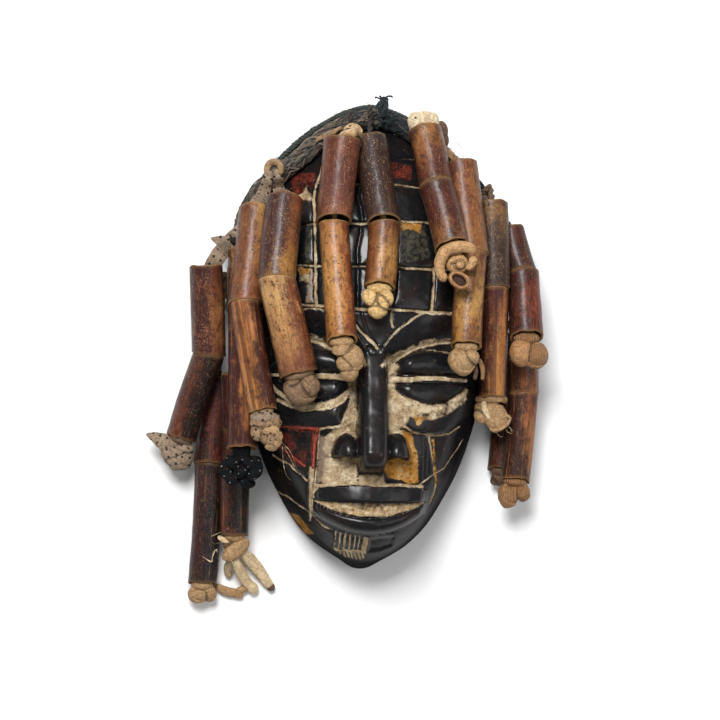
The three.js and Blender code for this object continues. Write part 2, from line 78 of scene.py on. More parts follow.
class MaskSettings(bpy.types.PropertyGroup):
    """Sizes and colours of the carved mask"""

    columns: IntProperty(
        name="Columns", description="Mesh columns across the face", default=250, min=40, max=260
    )
    rows: IntProperty(name="Rows", description="Mesh rows from chin to crown", default=360, min=60, max=370)
    cut_width: FloatProperty(
        name="Cut width", description="Width of the carved lines, against one", default=1.0, min=0.4, max=2.0
    )
    cut_depth: FloatProperty(
        name="Cut depth", description="Depth of the carved lines, against one", default=1.0, min=0.0, max=2.0
    )
    paint: FloatVectorProperty(
        name="Paint", description="Black paint", subtype="COLOR", size=3, default=tint("141416")
    )
    brown_paint: FloatVectorProperty(
        name="Brown paint", description="Brown black paint", subtype="COLOR", size=3, default=tint("1f1715")
    )
    bare_wood: FloatVectorProperty(
        name="Bare wood", description="Unpainted wood", subtype="COLOR", size=3, default=tint("b09a7b")
    )
    ochre: FloatVectorProperty(
        name="Ochre", description="Ochre paint", subtype="COLOR", size=3, default=tint("a8773a")
    )
    red: FloatVectorProperty(
        name="Red", description="Red paint", subtype="COLOR", size=3, default=tint("62291f")
    )
    teal: FloatVectorProperty(
        name="Grey green", description="Grey green patina", subtype="COLOR", size=3, default=tint("524d3f")
    )
    lilac: FloatVectorProperty(
        name="Rose grey", description="Rose grey paint", subtype="COLOR", size=3, default=tint("97836f")
    )


class CaneSettings(bpy.types.PropertyGroup):
    """Sizes and colours of the bamboo tubes"""

    around: IntProperty(name="Around", description="Faces round a tube", default=48, min=12, max=64)
    wall: FloatProperty(
        name="Wall", description="Thickness of the bamboo", default=2 * MM, min=MM, max=4 * MM, unit="LENGTH"
    )
    bow: FloatProperty(
        name="Bow", description="How far a tube is bent", default=0.6 * MM, min=0, max=2 * MM, unit="LENGTH"
    )
    rim: FloatVectorProperty(
        name="Rim", description="Cut end grain", subtype="COLOR", size=3, default=tint("b08c5a")
    )
    inside: FloatVectorProperty(
        name="Inside", description="Inner wall", subtype="COLOR", size=3, default=tint("3a2618")
    )


class LeatherSettings(bpy.types.PropertyGroup):
    """Sizes of the thongs and knots"""

    hole_pitch: FloatProperty(
        name="Hole pitch", description="From hole to hole", default=6 * MM, min=2 * MM, unit="LENGTH"
    )
    hole_radius: FloatProperty(
        name="Hole radius", description="Radius of each hole", default=1.0 * MM, min=0.3 * MM, unit="LENGTH"
    )
    wrinkle: FloatProperty(
        name="Wrinkle", description="Depth of creases", default=0.24 * MM, min=0, max=2 * MM, unit="LENGTH"
    )


class FibreSettings(bpy.types.PropertyGroup):
    """Sizes and colours of the roll, the cord and the threads"""

    fibres: IntProperty(name="Fibres", description="Loose fibres on the roll", default=900, min=0, max=2000)
    fibre_radius: FloatProperty(
        name="Fibre radius", description="Radius of one fibre", default=0.42 * MM, min=0.1 * MM, unit="LENGTH"
    )
    roll: FloatVectorProperty(
        name="Roll", description="Matted fibre", subtype="COLOR", size=3, default=tint("544a41")
    )
    cord: FloatVectorProperty(
        name="Cord", description="Edge cord", subtype="COLOR", size=3, default=tint("333833")
    )
    thread: FloatVectorProperty(
        name="Thread", description="Dark thread", subtype="COLOR", size=3, default=tint("141d22")
    )


class StageSettings(bpy.types.PropertyGroup):
    """The floor, the lights and the camera"""

    key_power: FloatProperty(name="Key light", description="Main light", default=36, min=0, unit="POWER")
    fill_power: FloatProperty(name="Fill light", description="Side light", default=5, min=0, unit="POWER")
    sky: FloatProperty(name="Sky", description="Strength of the light from all round", default=0.32, min=0)
    floor: FloatVectorProperty(
        name="Floor", description="Floor colour", subtype="COLOR", size=3, default=(0.88, 0.88, 0.88)
    )
    distance: FloatProperty(
        name="Distance", description="Camera to the mask", default=1.5, min=0.3, unit="LENGTH"
    )
    yaw: FloatProperty(
        name="Yaw", description="Camera's turn to the left", default=math.radians(5), subtype="ANGLE"
    )
    roll: FloatProperty(name="Roll", description="Camera's tilt", default=math.radians(1.5), subtype="ANGLE")
    lens: FloatProperty(name="Lens", description="Focal length in millimetres", default=100.0, min=20)


# Shader expressions


class Socket:
    """An output of a node, which takes part in Python expressions."""

    def __init__(self, paint, link):
        self.paint = paint
        self.link = link

    def apply(self, operation, *values):
        return self.paint.node("ShaderNodeMath", {"operation": operation}, dict(enumerate(values)))

    def __add__(self, other):
        return self.apply("ADD", self, other)

    def __radd__(self, other):
        return self.apply("ADD", other, self)

    def __sub__(self, other):
        return self.apply("SUBTRACT", self, other)

    def __rsub__(self, other):
        return self.apply("SUBTRACT", other, self)

    def __mul__(self, other):
        return self.apply("MULTIPLY", self, other)

    def __rmul__(self, other):
        return self.apply("MULTIPLY", other, self)

    def __truediv__(self, other):
        return self.apply("DIVIDE", self, other)

    def __rtruediv__(self, other):
        return self.apply("DIVIDE", other, self)

    def __pow__(self, other):
        return self.apply("POWER", self, other)


class Paint:
    """A material, with one method that adds any node to it."""

    def __init__(self, name):
        self.material = bpy.data.materials.new(name)
        self.material.use_nodes = True
        self.tree = self.material.node_tree
        self.shader = self.tree.nodes["Principled BSDF"]

    def feed(self, slot, value):
        if isinstance(value, Socket):
            self.tree.links.new(value.link, slot)
        elif slot.type == "RGBA":
            slot.default_value = (*value[:3], 1.0)
        else:
            slot.default_value = value

    def node(self, kind, settings, sockets, output=0):
        made = self.tree.nodes.new(kind)
        for key, value in settings.items():
            setattr(made, key, value)
        for key, value in sockets.items():
            self.feed(made.inputs[key], value)
        return Socket(self, made.outputs[output])

    def place(self):
        return self.node("ShaderNodeTexCoord", {}, {}, "Object")

    def attribute(self, name, output="Fac"):
        return self.node("ShaderNodeAttribute", {"attribute_name": name}, {}, output)

    def split(self, vector):
        kind = "ShaderNodeSeparateXYZ"
        made = self.node(kind, {}, {0: vector}).link.node
        return [Socket(self, made.outputs[i]) for i in range(3)]

    def stretch(self, vector, factors):
        return self.node("ShaderNodeVectorMath", {"operation": "MULTIPLY"}, {0: vector, 1: factors})

    def noise(self, vector, scale, detail=2.0, rough=0.5, warp=0.0):
        values = {"Vector": vector, "Scale": scale, "Detail": detail, "Roughness": rough, "Distortion": warp}
        return self.node("ShaderNodeTexNoise", {}, values)

    def cells(self, vector, scale, feature="F1"):
        return self.node("ShaderNodeTexVoronoi", {"feature": feature}, {"Vector": vector, "Scale": scale})

    def spread(self, value, low, high):
        values = {"Value": value, "From Min": low, "From Max": high}
        return self.node("ShaderNodeMapRange", {"interpolation_type": "SMOOTHSTEP"}, values)

    def mix(self, factor, first, second, blend="MIX"):
        settings = {"data_type": "RGBA", "blend_type": blend}
        return self.node("ShaderNodeMix", settings, {0: factor, 6: first, 7: second}, 2)

    def over(self, colour, code, amount, value, low, high):
        """The colour with a web colour laid over it where the value is high."""
        return self.mix(self.spread(value, low, high) * amount, colour, tint(code))

    def shade(self, colour, amount):
        """The colour made lighter or darker by a changing amount."""
        grey = self.node("ShaderNodeCombineColor", {}, {0: amount, 1: amount, 2: amount})
        return self.mix(1.0, colour, grey, "MULTIPLY")

    def finish(self, colour, roughness, height, distance, coat=0.0, strength=1.0, shine=0.5, gloss=0.2):
        self.feed(self.shader.inputs["Base Color"], colour)
        self.feed(self.shader.inputs["Roughness"], roughness)
        self.feed(self.shader.inputs["Coat Weight"], coat)
        self.shader.inputs["Coat Roughness"].default_value = gloss
        self.shader.inputs["Specular IOR Level"].default_value = shine
        values = {"Height": height, "Strength": strength, "Distance": distance}
        self.feed(self.shader.inputs["Normal"], self.node("ShaderNodeBump", {}, values))
        return self.material


# Mesh helpers


def ripple(points, scale, seed=0.0):
    """Smooth noise from -1 to 1 at each point, in features of about 1 / scale."""
    return np.array([noise.noise(Vector((p[0] * scale + seed, p[1] * scale, p[2] * scale))) for p in points])


def smoothed(value, low, high):
    t = np.clip((value - low) / (high - low), 0.0, 1.0)
    return t * t * (3 - 2 * t)


def within(value, low, high, soft):
    return smoothed(value, low - soft, low) * (1 - smoothed(value, high, high + soft))


def dome(t):
    return np.sqrt(np.maximum(0.0, 1 - t * t))


def unit(vector):
    return vector / np.linalg.norm(vector)


def share(value, low, high):
    return np.clip((value - low) / (high - low), 0.0, 1.0)


def finished(bm, name, material, attributes=None, colours=None, merge=1e-6):
    """Turns a bmesh into a smooth object at the origin, with its attributes."""
    if merge:
        bmesh.ops.remove_doubles(bm, verts=bm.verts, dist=merge)
    bmesh.ops.recalc_face_normals(bm, faces=bm.faces)
    for face in bm.faces:
        face.smooth = True
    for vert in bm.verts:
        vert.co.z = max(vert.co.z, 0.0)
    mesh = bpy.data.meshes.new(name)
    bm.to_mesh(mesh)
    bm.free()
    for key, values in (attributes or {}).items():
        kind = "FLOAT_VECTOR" if values.ndim == 2 else "FLOAT"
        layer = mesh.attributes.new(key, kind, "POINT")
        layer.data.foreach_set("vector" if values.ndim == 2 else "value", values.astype(np.float32).ravel())
    for key, values in (colours or {}).items():
        layer = mesh.attributes.new(key, "FLOAT_COLOR", "POINT")
        full = np.concatenate([values, np.ones((len(values), 1))], axis=1)
        layer.data.foreach_set("color", full.astype(np.float32).ravel())
    mesh.materials.append(material)
    made = bpy.data.objects.new(name, mesh)
    bpy.context.scene.collection.objects.link(made)
    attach(made, "root")
    return made


def as_points(bm):
    return np.array([v.co[:] for v in bm.verts])


def move_points(bm, points):
    for vert, point in zip(bm.verts, points):
        vert.co = point


def curve_through(points, count, closed=False):
    """Evenly counted places on a smooth curve through the points."""
    pts = np.array(points, dtype=float)
    last = len(pts) if closed else len(pts) - 1
    t = np.linspace(0, last, count, endpoint=not closed)
    i = np.minimum(t.astype(int), last - 1)
    f = (t - i)[:, None]
    pick = (lambda k: pts[k % len(pts)]) if closed else (lambda k: pts[np.clip(k, 0, len(pts) - 1)])
    a, b, c, d = pick(i - 1), pick(i), pick(i + 1), pick(i + 2)
    return 0.5 * (2 * b + (c - a) * f + (2 * a - 5 * b + 4 * c - d) * f**2 + (3 * b - a - 3 * c + d) * f**3)


def directions(path, closed=False):
    if closed:
        step = np.roll(path, -1, axis=0) - np.roll(path, 1, axis=0)
    else:
        step = np.gradient(path, axis=0)
    return step / np.maximum(np.linalg.norm(step, axis=1, keepdims=True), 1e-9)


def carried(path, first, closed=False):
    """Directions square to the path, carried along it without twisting."""
    along = directions(path, closed)
    out = np.zeros_like(path)
    side = np.array(first, dtype=float)
    for k in range(len(path)):
        side = side - along[k] * side.dot(along[k])
        size = np.linalg.norm(side)
        if size < 1e-9:
            side = np.cross(along[k], (0.3, 0.5, 0.8))
            size = np.linalg.norm(side)
        side = side / size
        out[k] = side
    return out


class Strip:
    """Straps, cords and threads swept along paths into one bmesh, with their own coordinates."""

    def __init__(self):
        self.bm = bmesh.new()
        self.strap = self.bm.verts.layers.float_vector.new("strap")
        self.tone = self.bm.verts.layers.float_color.new("tone")

    def sweep(self, path, normals, wide, thick, tone, around=12, closed=False, surface_kind=0, square=2.0):
        """Sweeps an oval section. wide runs square to the path and its normals, thick along the normals."""
        path = np.array(path, dtype=float)
        count = len(path)
        wide = np.broadcast_to(np.asarray(wide, dtype=float), (count,)).copy()
        thick = np.broadcast_to(np.asarray(thick, dtype=float), (count,)).copy()
        if not closed:
            reach = np.linalg.norm(np.diff(path, axis=0), axis=1)
            run = np.concatenate([[0], np.cumsum(reach)])
            edge = np.minimum(run, run[-1] - run)
            ease = dome(1 - np.clip(edge / np.maximum(np.minimum(wide, 3 * thick), 1e-6), 0, 1))
            wide, thick = wide * ease, thick * ease
        along = directions(path, closed)
        side = np.cross(along, normals)
        side = side / np.maximum(np.linalg.norm(side, axis=1, keepdims=True), 1e-9)
        up = np.cross(side, along)
        lengths = np.linalg.norm(np.diff(path, axis=0, append=path[:1] if closed else path[-1:]), axis=1)
        run = np.concatenate([[0], np.cumsum(lengths)])[:count]
        rings = count + 1 if closed else count
        made = bmesh.ops.create_grid(self.bm, x_segments=around, y_segments=rings - 1, size=1.0)["verts"]
        shade = (*tone[:3], 1.0)
        for j in range(rings):
            k = j % count
            for i in range(around + 1):
                angle = 2 * math.pi * i / around
                c, s = math.cos(angle), math.sin(angle)
                c = math.copysign(abs(c) ** (2 / square), c)
                s = math.copysign(abs(s) ** (2 / square), s)
                vert = made[j * (around + 1) + i]
                vert.co = path[k] + side[k] * (wide[k] * c) + up[k] * (thick[k] * s)
                vert[self.strap] = (wide[k] * c, run[k], surface_kind)
                vert[self.tone] = shade

    def ball(self, centre, axes, radii, tone, surface_kind=0):
        """A lump from a sphere, stretched along three axes."""
        made = bmesh.ops.create_uvsphere(self.bm, u_segments=40, v_segments=20, radius=1.0)["verts"]
        for vert in made:
            p = vert.co.copy()
            vert.co = np.array(centre) + sum(np.array(axes[i]) * radii[i] * p[i] for i in range(3))
            vert[self.strap] = (p[0] * radii[0], p[1] * radii[1], surface_kind)
            vert[self.tone] = (*tone[:3], 1.0)

    def wrinkle(self, depth, scale, seed):
        """Creases the whole strip, and gives back how deep each point lies, from which the leather's painted
        crease shade is made.
        """
        points = as_points(self.bm)
        soft = ripple(points, scale, seed) + 0.5 * ripple(points, 2.3 * scale, seed + 7)
        ridged = 1 - 2.2 * np.abs(ripple(points, 0.8 * scale, seed + 3))
        self.bm.normal_update()
        normals = np.array([v.normal[:] for v in self.bm.verts])
        amount = depth * (0.7 * soft - 0.7 * np.clip(ridged, 0, 1))
        move_points(self.bm, points + normals * amount[:, None])
        return amount


def local(x, y, z):
    """A place in the mask's own millimetres, as metres in the frame."""
    return np.array([x * MM + SHIFT.x, y * MM + SHIFT.y, z * MM])


# The mask's shape

CROWN_Y, CHIN_Y = 195.0, -161.0
# The middle of the arc that the bindings follow round the crown
CROWN_MIDDLE = 60
WALL_SIDE, WALL_FRONT, SECTION_POWER = 9.0, 18.0, 2.2
HOLLOW_LOW, HOLLOW_HIGH = -150.0, 184.0
# The hollow has one row and one column to this many of the face's
STEP = 5
OUTSIDE = -1000.0

# Stations of the mask: place along it, half width and depth from the rim plane
STATIONS = np.array(
    [
        (CHIN_Y, 0, 0), (-153.5, 16, 42), (-148, 25, 56), (-142, 34, 66), (-133, 44, 76), (-122, 53, 83),
        (-107, 62, 88), (-86, 73, 90), (-62, 82, 89), (-31, 90, 87), (8, 96, 85), (46, 97.5, 82),
        (85, 95, 76), (124, 86, 65), (143, 76, 57), (159, 63, 48), (174, 46, 36), (186, 27, 22),
        (CROWN_Y, 0, 0),
    ],
    dtype=float,
)


def through_stations(y, column):
    places, squares = STATIONS[:, 0], STATIONS[:, column] ** 2
    last = len(places) - 1
    inside = np.clip(y, CHIN_Y, CROWN_Y)
    i = np.clip(np.searchsorted(places, inside, side="left") - 1, 0, last - 1)
    low, high = np.clip(np.arange(last + 1) - 1, 0, last), np.clip(np.arange(last + 1) + 1, 0, last)
    slope = (squares[high] - squares[low]) / (places[high] - places[low])
    span = places[i + 1] - places[i]
    t = (inside - places[i]) / span
    value = (2 * t**3 - 3 * t**2 + 1) * squares[i] + (t**3 - 2 * t**2 + t) * span * slope[i]
    value += (3 * t**2 - 2 * t**3) * squares[i + 1] + (t**3 - t**2) * span * slope[i + 1]
    return np.sqrt(np.maximum(value, 0))


def eye_lines(side):
    """The edges of brow, lids, eyeball and bag at a distance from the centre line."""
    along = (side - 44) / 34
    open_part = np.maximum(0, 1 - along**2)
    lid_edge = -12.3 + 2.0 * open_part
    arc = np.sin((math.pi / 2) * np.clip((side - 3.5) / 42, 0, 1.25))
    return {
        "brow_top": 4 + 33 * np.maximum(0, arc) ** 0.8,
        "brow_low": -3 + 19 * np.sin((math.pi / 2) * np.clip((side - 6) / 52, 0, 1.1)),
        "lid_top": -11 + 19.5 * open_part**0.65,
        "lid_edge": lid_edge,
        "eye_top": lid_edge - 4.6 + 1.6 * share(side, 38, 72),
        "eye_low": -17 - 15.5 * open_part**1.25,
        "bag_low": -54 + 10 * along**2,
    }


def carving(x, y):
    """How far the carved features stand proud of the plain form."""
    side = np.abs(x)
    lines = eye_lines(side)
    reach = within(side, 15, 72, 8)
    brow = (-6 + 12 * share(y, lines["brow_low"], lines["brow_top"]) ** 0.7) * within(side, 6, 80, 6)
    lid = (-7 + 10 * dome(2 * share(y, lines["lid_edge"], lines["lid_top"]) - 1)) * reach
    ball = (-5 + 5 * dome(2 * share(y, lines["eye_low"], lines["eye_top"]) - 1)) * reach
    bag = (1 + 4 * dome(2 * share(y, lines["bag_low"], lines["eye_low"]) - 1)) * reach
    eye = np.select(
        [y > lines["brow_top"], y > lines["brow_low"], y > lines["lid_top"], y > lines["lid_edge"],
         y > lines["eye_top"], y > lines["eye_low"], y > lines["bag_low"]],
        [0 * y, brow, -7 * reach, lid, reach, ball, bag], 0 * y,
    )
    trough = -8 * within(y, -40, -2, 9) * within(side, 0, 13, 16)
    cheek = -2.5 * within(y, -86, -56, 5) * within(side, 0, 39, 4)
    rise = 3 + 28 * share(-y, -10, 66)
    turn = np.where(y > -66, 1.0, dome((-66 - y) / 16))
    wide = 9 + 3 * share(-y, -5, 50) - 3.5 * share(-y, 68, 82)
    back = np.maximum(0, 1 - (side / wide) ** 4) ** 0.5
    ridge = np.where((y > 10) | (y < -82), 0, rise * turn * back)
    wing = 17 * dome(np.hypot((side - 18.5) / 10.5, np.maximum(0, y + 68) / 15))
    wing = np.where(y < -70, wing * (1 - share(-y, 70, 71.5)), wing)
    nose = np.maximum(ridge, wing)
    hollows = eye + trough + cheek
    across = np.clip(x / 41, -1, 1)
    top = -91 - 2.5 * across**2
    slit = -103.0
    face = slit - 1.5 - 10 * (1 - across**2)
    chin = -128 + 14 * across**2
    corner = 1 - smoothed(side, 37, 46)
    upper = 9 - 3 * share(y, slit, top)
    lower = 7 - 4 * share(y, face, slit)
    swell = 2 + 8 * dome(1 - 2 * share(y, chin, face))
    mouth = corner * np.select([y > top, y > slit, y > face, y > chin], [0 * y, upper, lower, swell], 0 * y)
    return np.where(nose > 0, np.maximum(nose, hollows), hollows) + mouth


def plain_height(x, y):
    """Depth of the plain form, and how far up its arch each point is."""
    half = np.maximum(through_stations(y, 1), 1e-6)
    arch = np.maximum(0, 1 - np.minimum(np.abs(x) / half, 1) ** SECTION_POWER) ** (1 / SECTION_POWER)
    return through_stations(y, 2) * arch, arch


def surface(x, y):
    plain, arch = plain_height(x, y)
    height = plain + carving(x, y) * smoothed(arch, 0.15, 0.6)
    outside = (np.abs(x) >= through_stations(y, 1)) | (y <= CHIN_Y) | (y >= CROWN_Y)
    return np.where(outside, OUTSIDE, height)


def rest_height(x, y, radius):
    """Lowest height at which a ball clears the floor and the mask."""
    height = radius + 0.2
    turns = np.arange(12) * math.pi / 6
    for part in (0, 0.45, 0.75, 0.95):
        under = surface(x + radius * part * np.cos(turns), y + radius * part * np.sin(turns))
        height = max(height, under.max() + radius * math.sqrt(1 - part * part) + 0.7)
    return height


def binding_path(radius, crown_inset, side_inset, count):
    """The path of a binding round the crown, resting on the mask."""
    path = []
    for degrees in np.linspace(-16, 196, count):
        across, along = math.cos(math.radians(degrees)), math.sin(math.radians(degrees))
        reach = 60.0
        while True:
            x, y = reach * across, CROWN_MIDDLE + reach * along
            if y >= CROWN_Y or abs(x) >= through_stations(y, 1):
                break
            reach += 0.25
        crown = 1 - smoothed(abs(degrees - 90), 30, 65)
        reach -= side_inset + (crown_inset - side_inset) * crown
        x, y = reach * across, CROWN_MIDDLE + reach * along
        path.append((x, y, rest_height(x, y, radius)))
    return np.array(path)


ROLL_RADIUS, CORD_RADIUS = 7.0, 2.4
ROLL_PATH = binding_path(ROLL_RADIUS, 12, -3.5, 27)
CORD_PATH = binding_path(CORD_RADIUS, 1, -3.2, 27)


# The mask's cuts and colours

# Lines cut into the wood: points, width, depth and how bare the wood is in them. The first ones
# part the forehead into tiles.
TILE_CUTS = 12
CUTS = [
    ([(-84, 36), (-70, 38.5), (-54.6, 39.8), (-37, 39), (-12, 37.5), (12, 38), (34, 36.5), (54, 36),
      (86, 37)], 2.4, 1.7, 0.95),
    ([(-92, 67), (-55, 69.5), (-41, 68.6), (-13, 69), (16.5, 69.6), (38, 68.2), (92, 70)], 2.2, 1.7, 0.72),
    ([(-90, 99), (-54, 98.5), (-45, 99.9), (-11, 101), (15, 104), (36, 103.3), (88, 101)], 2.2, 1.7, 0.6),
    ([(-80, 129), (-60, 127), (-42, 131), (-12, 131), (6.8, 132.3), (30.5, 130.1), (78, 128)],
     2.0, 1.6, 0.62),
    ([(-62, 152), (-30, 155), (0, 151), (27, 152), (62, 150)], 2.0, 1.4, 0.35),
    ([(-42.7, 39), (-43.5, 70), (-44.4, 99), (-45, 119), (-43, 131), (-36, 155)], 2.4, 1.8, 0.95),
    ([(-12.2, 37.5), (-13.2, 81), (-9.7, 106), (-13.2, 124), (-10, 152)], 2.0, 1.6, 0.1),
    ([(12.5, 38), (14.8, 52), (15.6, 70), (15.1, 96), (12.8, 110), (13.3, 120), (9.3, 131), (4, 151)],
     2.2, 1.7, 0.5),
    ([(43.9, 36), (44.2, 69)], 2.8, 1.8, 0.95),
    ([(47, 69), (45, 101), (42, 129), (33, 152)], 2.0, 1.6, 0.5),
    ([(-75, 37), (-76, 69), (-73, 100), (-64, 128)], 2.0, 1.6, 0.6),
    ([(75, 37), (77, 69), (74, 100), (64, 128)], 2.0, 1.6, 0.6),
    ([(-14, 26), (-11.4, 23), (-6, 17), (-0.4, 11.8), (1.5, 9)], 2.6, 1.2, 0.9),
    ([(13.2, 38), (12.6, 30), (13.8, 25.5)], 1.8, 1.0, 0.8),
    ([(-9, 36), (-8, 30), (-4, 20), (0.5, 12)], 1.4, 1.0, 0.15),
    ([(22.9, -47.3), (30, -51.8), (37.7, -53.5), (48, -54.6), (59.5, -53.2), (68, -48)], 2.0, 1.4, 0.85),
    ([(-11.5, -43), (-24.3, -48.5), (-39.1, -51.2), (-52, -52.4), (-66.8, -51)], 2.2, 1.4, 0.9),
    ([(43.3, -56), (45.5, -66), (49.8, -86.3), (50.4, -93), (49.1, -99.6), (47, -106)], 1.8, 1.3, 0.8),
    ([(35.6, -92.6), (46.4, -84.7), (57.5, -78.2), (65.4, -68), (72, -58)], 1.3, 0.9, 0.75),
    ([(-38.3, -52), (-38.6, -66), (-39.5, -80), (-40.5, -97), (-42.4, -121.5)], 1.6, 1.2, 0.7),
    ([(-44.6, -54), (-45, -66), (-45.2, -80), (-45.0, -97), (-43.0, -119)], 1.4, 1.2, 0.35),
    ([(-70, -73), (-65.7, -75.8), (-57.9, -79.2), (-52.7, -84.2), (-45.5, -90)], 1.8, 1.2, 0.85),
    ([(-70, -100), (-57.5, -104.5), (-43.4, -114.1), (-33.2, -123.5), (-26.7, -126)], 1.4, 1.2, 0.8),
    ([(-38.6, -94.5), (-41.8, -99), (-43, -104.5)], 1.8, 1.0, 0.9),
    ([(39, -94.5), (41.6, -99), (42, -103)], 1.4, 1.0, 0.5),
    ([(58, -100), (62, -88), (66, -76)], 1.2, 0.9, 0.35),
]

# Shallow strokes on the chin: a row of uprights of many lengths, over a short hatch
STROKE_GAPS = (-21.9, -18.4, -14.7, -11.2, -8.0, -4.9)
STROKES = [
    ([(-23.6, -127), (-23.8, -134), (-22.6, -141.5)], 1.6, 1.4),
    ([(-20.2, -129), (-20.6, -138.5)], 1.2, 1.2),
    ([(-16.6, -129.2), (-16.2, -140)], 1.7, 1.4),
    ([(-12.8, -131), (-12.6, -138)], 1.1, 1.2),
    ([(-9.8, -130.6), (-9.6, -141.4)], 1.6, 1.4),
    ([(-6.2, -133), (-6.4, -142)], 1.1, 1.2),
    ([(-3.4, -131.5), (-3.6, -139)], 1.0, 1.0),
]

RED_PAINT = [
    [(-68, -54.5), (-45.5, -54.5), (-45.8, -80), (-52, -81), (-60, -76), (-68, -70)],
    [(-44.4, -51.5), (-38.6, -51.5), (-40.6, -79), (-44.8, -79.5)],
    [(-61, -49.5), (-39, -50), (-38, -53.5), (-61, -54)],
    [(4, 148), (14, 149.5), (28, 147.5), (27.5, 134), (18, 136), (7.5, 134.5)],
    [(-62, 139), (-44, 140), (-45, 124), (-60, 121)],
    [(-30, 148), (-14, 149), (-15, 135), (-38, 134)],
    [(32, 147), (56, 143), (58, 133), (34, 134)],
]
# Brighter red lines at the edges of the red panels
RED_LINES = [
    [(-39.6, -51), (-41.5, -66), (-42.3, -80)],
    [(-68, -51.5), (-55, -51), (-40, -50.5)],
    [(-66, -66), (-48, -79)],
]
OCHRE_PAINT = [
    [(10, -73), (19, -70.5), (28, -72.5), (31.5, -80), (34, -90.5), (28, -91), (22, -88), (12, -86),
     (9, -80)],
    [(22, -50), (30, -53), (35, -70), (36.5, -90), (31, -90), (27.5, -70)],
    [(45.6, -57), (47.2, -57), (51.6, -90), (49.6, -91)],
    [(-56, -117), (-50, -118), (-38, -131.5), (-43, -134)],
    [(15.5, 103), (35, 102.5), (34, 95), (25, 98), (17, 95)],
    [(-56, 68.5), (-46, 66), (-49, 62), (-55, 61)],
    [(29, -41), (35, -39.5), (39, -42), (36.5, -44), (34, -47.5), (31, -45.5)],
]
BARE_WOOD = [
    [(-34, -72), (-10, -71), (-9.5, -80), (-9, -90.5), (-36, -92)],
    [(-9, -83.5), (9.5, -83.5), (11, -90.5), (-9, -90.5)],
    [(-20, -3), (-11.5, 2), (-11, -52), (-12, -57), (-21, -52), (-24, -46), (-17, -30)],
    [(20, -3), (11.5, 2), (11, -52), (17, -52), (24, -47), (28, -40), (24, -32), (17, -22)],
    [(-31, -72), (-25, -55), (-16, -51), (-22, -46), (-34, -56), (-36, -68)],
    [(-23.8, -127), (-23, -142), (-15, -147.5), (-1, -150), (0.5, -131), (-12, -129)],
    [(-57, 68), (-45, 60), (-46, 54), (-55, 57)],
    [(-60, 124), (-50, 128), (-45, 118), (-57, 116)],
]
LILAC_PAINT = [
    [(-39, -56), (-28, -57), (-30, -72), (-34, -90), (-39.5, -92)],
    [(-48, 64), (-44.8, 64), (-45, 42), (-50, 42)],
]
# Grey green patina; the second patch, a narrow tile left on the forehead, is a painted bluish sheen.
PATINA_AND_SHEEN = [
    [(16, 102), (38, 101), (42, 76), (17, 71)],
    [(-52, 98), (-46.5, 98), (-46.5, 69), (-52, 69)],
]
# The seventh bare patch, on a forehead tile, is worn wood that is partly a painted highlight.
CHIN_PANEL, BARE_TILE_AND_HIGHLIGHT = BARE_WOOD[5], BARE_WOOD[6]
CHEEK_STRIPE = [(-44.8, -79), (-40.8, -79), (-41.6, -100), (-42.4, -121), (-44, -100)]
CHEEK_RIDGE = [(-44.6, -52), (-38.8, -52), (-40.8, -80), (-42.4, -118), (-44.6, -90)]
RECESS = [(1.6, -131.1), (12, -129.5), (19.5, -130.5), (19, -137), (10, -141), (2.2, -141.5)]


FAR = 1e9


def from_line(x, y, points):
    """Distance of each place from a line of points."""
    best = np.full(x.shape, FAR)
    for (x0, y0), (x1, y1) in zip(points[:-1], points[1:]):
        dx, dy = x1 - x0, y1 - y0
        t = np.clip(((x - x0) * dx + (y - y0) * dy) / (dx * dx + dy * dy), 0, 1)
        best = np.minimum(best, np.hypot(x - x0 - t * dx, y - y0 - t * dy))
    return best


def inside_shape(x, y, points, soft=1.6):
    """1 inside a shape and 0 outside it, with a soft edge."""
    inside = np.zeros(x.shape, dtype=bool)
    closed = points + points[:1]
    for (x0, y0), (x1, y1) in zip(closed[:-1], closed[1:]):
        if y0 == y1:
            continue
        crosses = (y0 > y) != (y1 > y)
        inside ^= crosses & (x < (x1 - x0) * (y - y0) / (y1 - y0) + x0)
    far = from_line(x, y, closed)
    return 0.5 + 0.5 * np.clip(np.where(inside, far, -far) / soft, -1, 1)


def painted(x, y, shapes):
    return np.max([inside_shape(x, y, shape) for shape in shapes], axis=0)


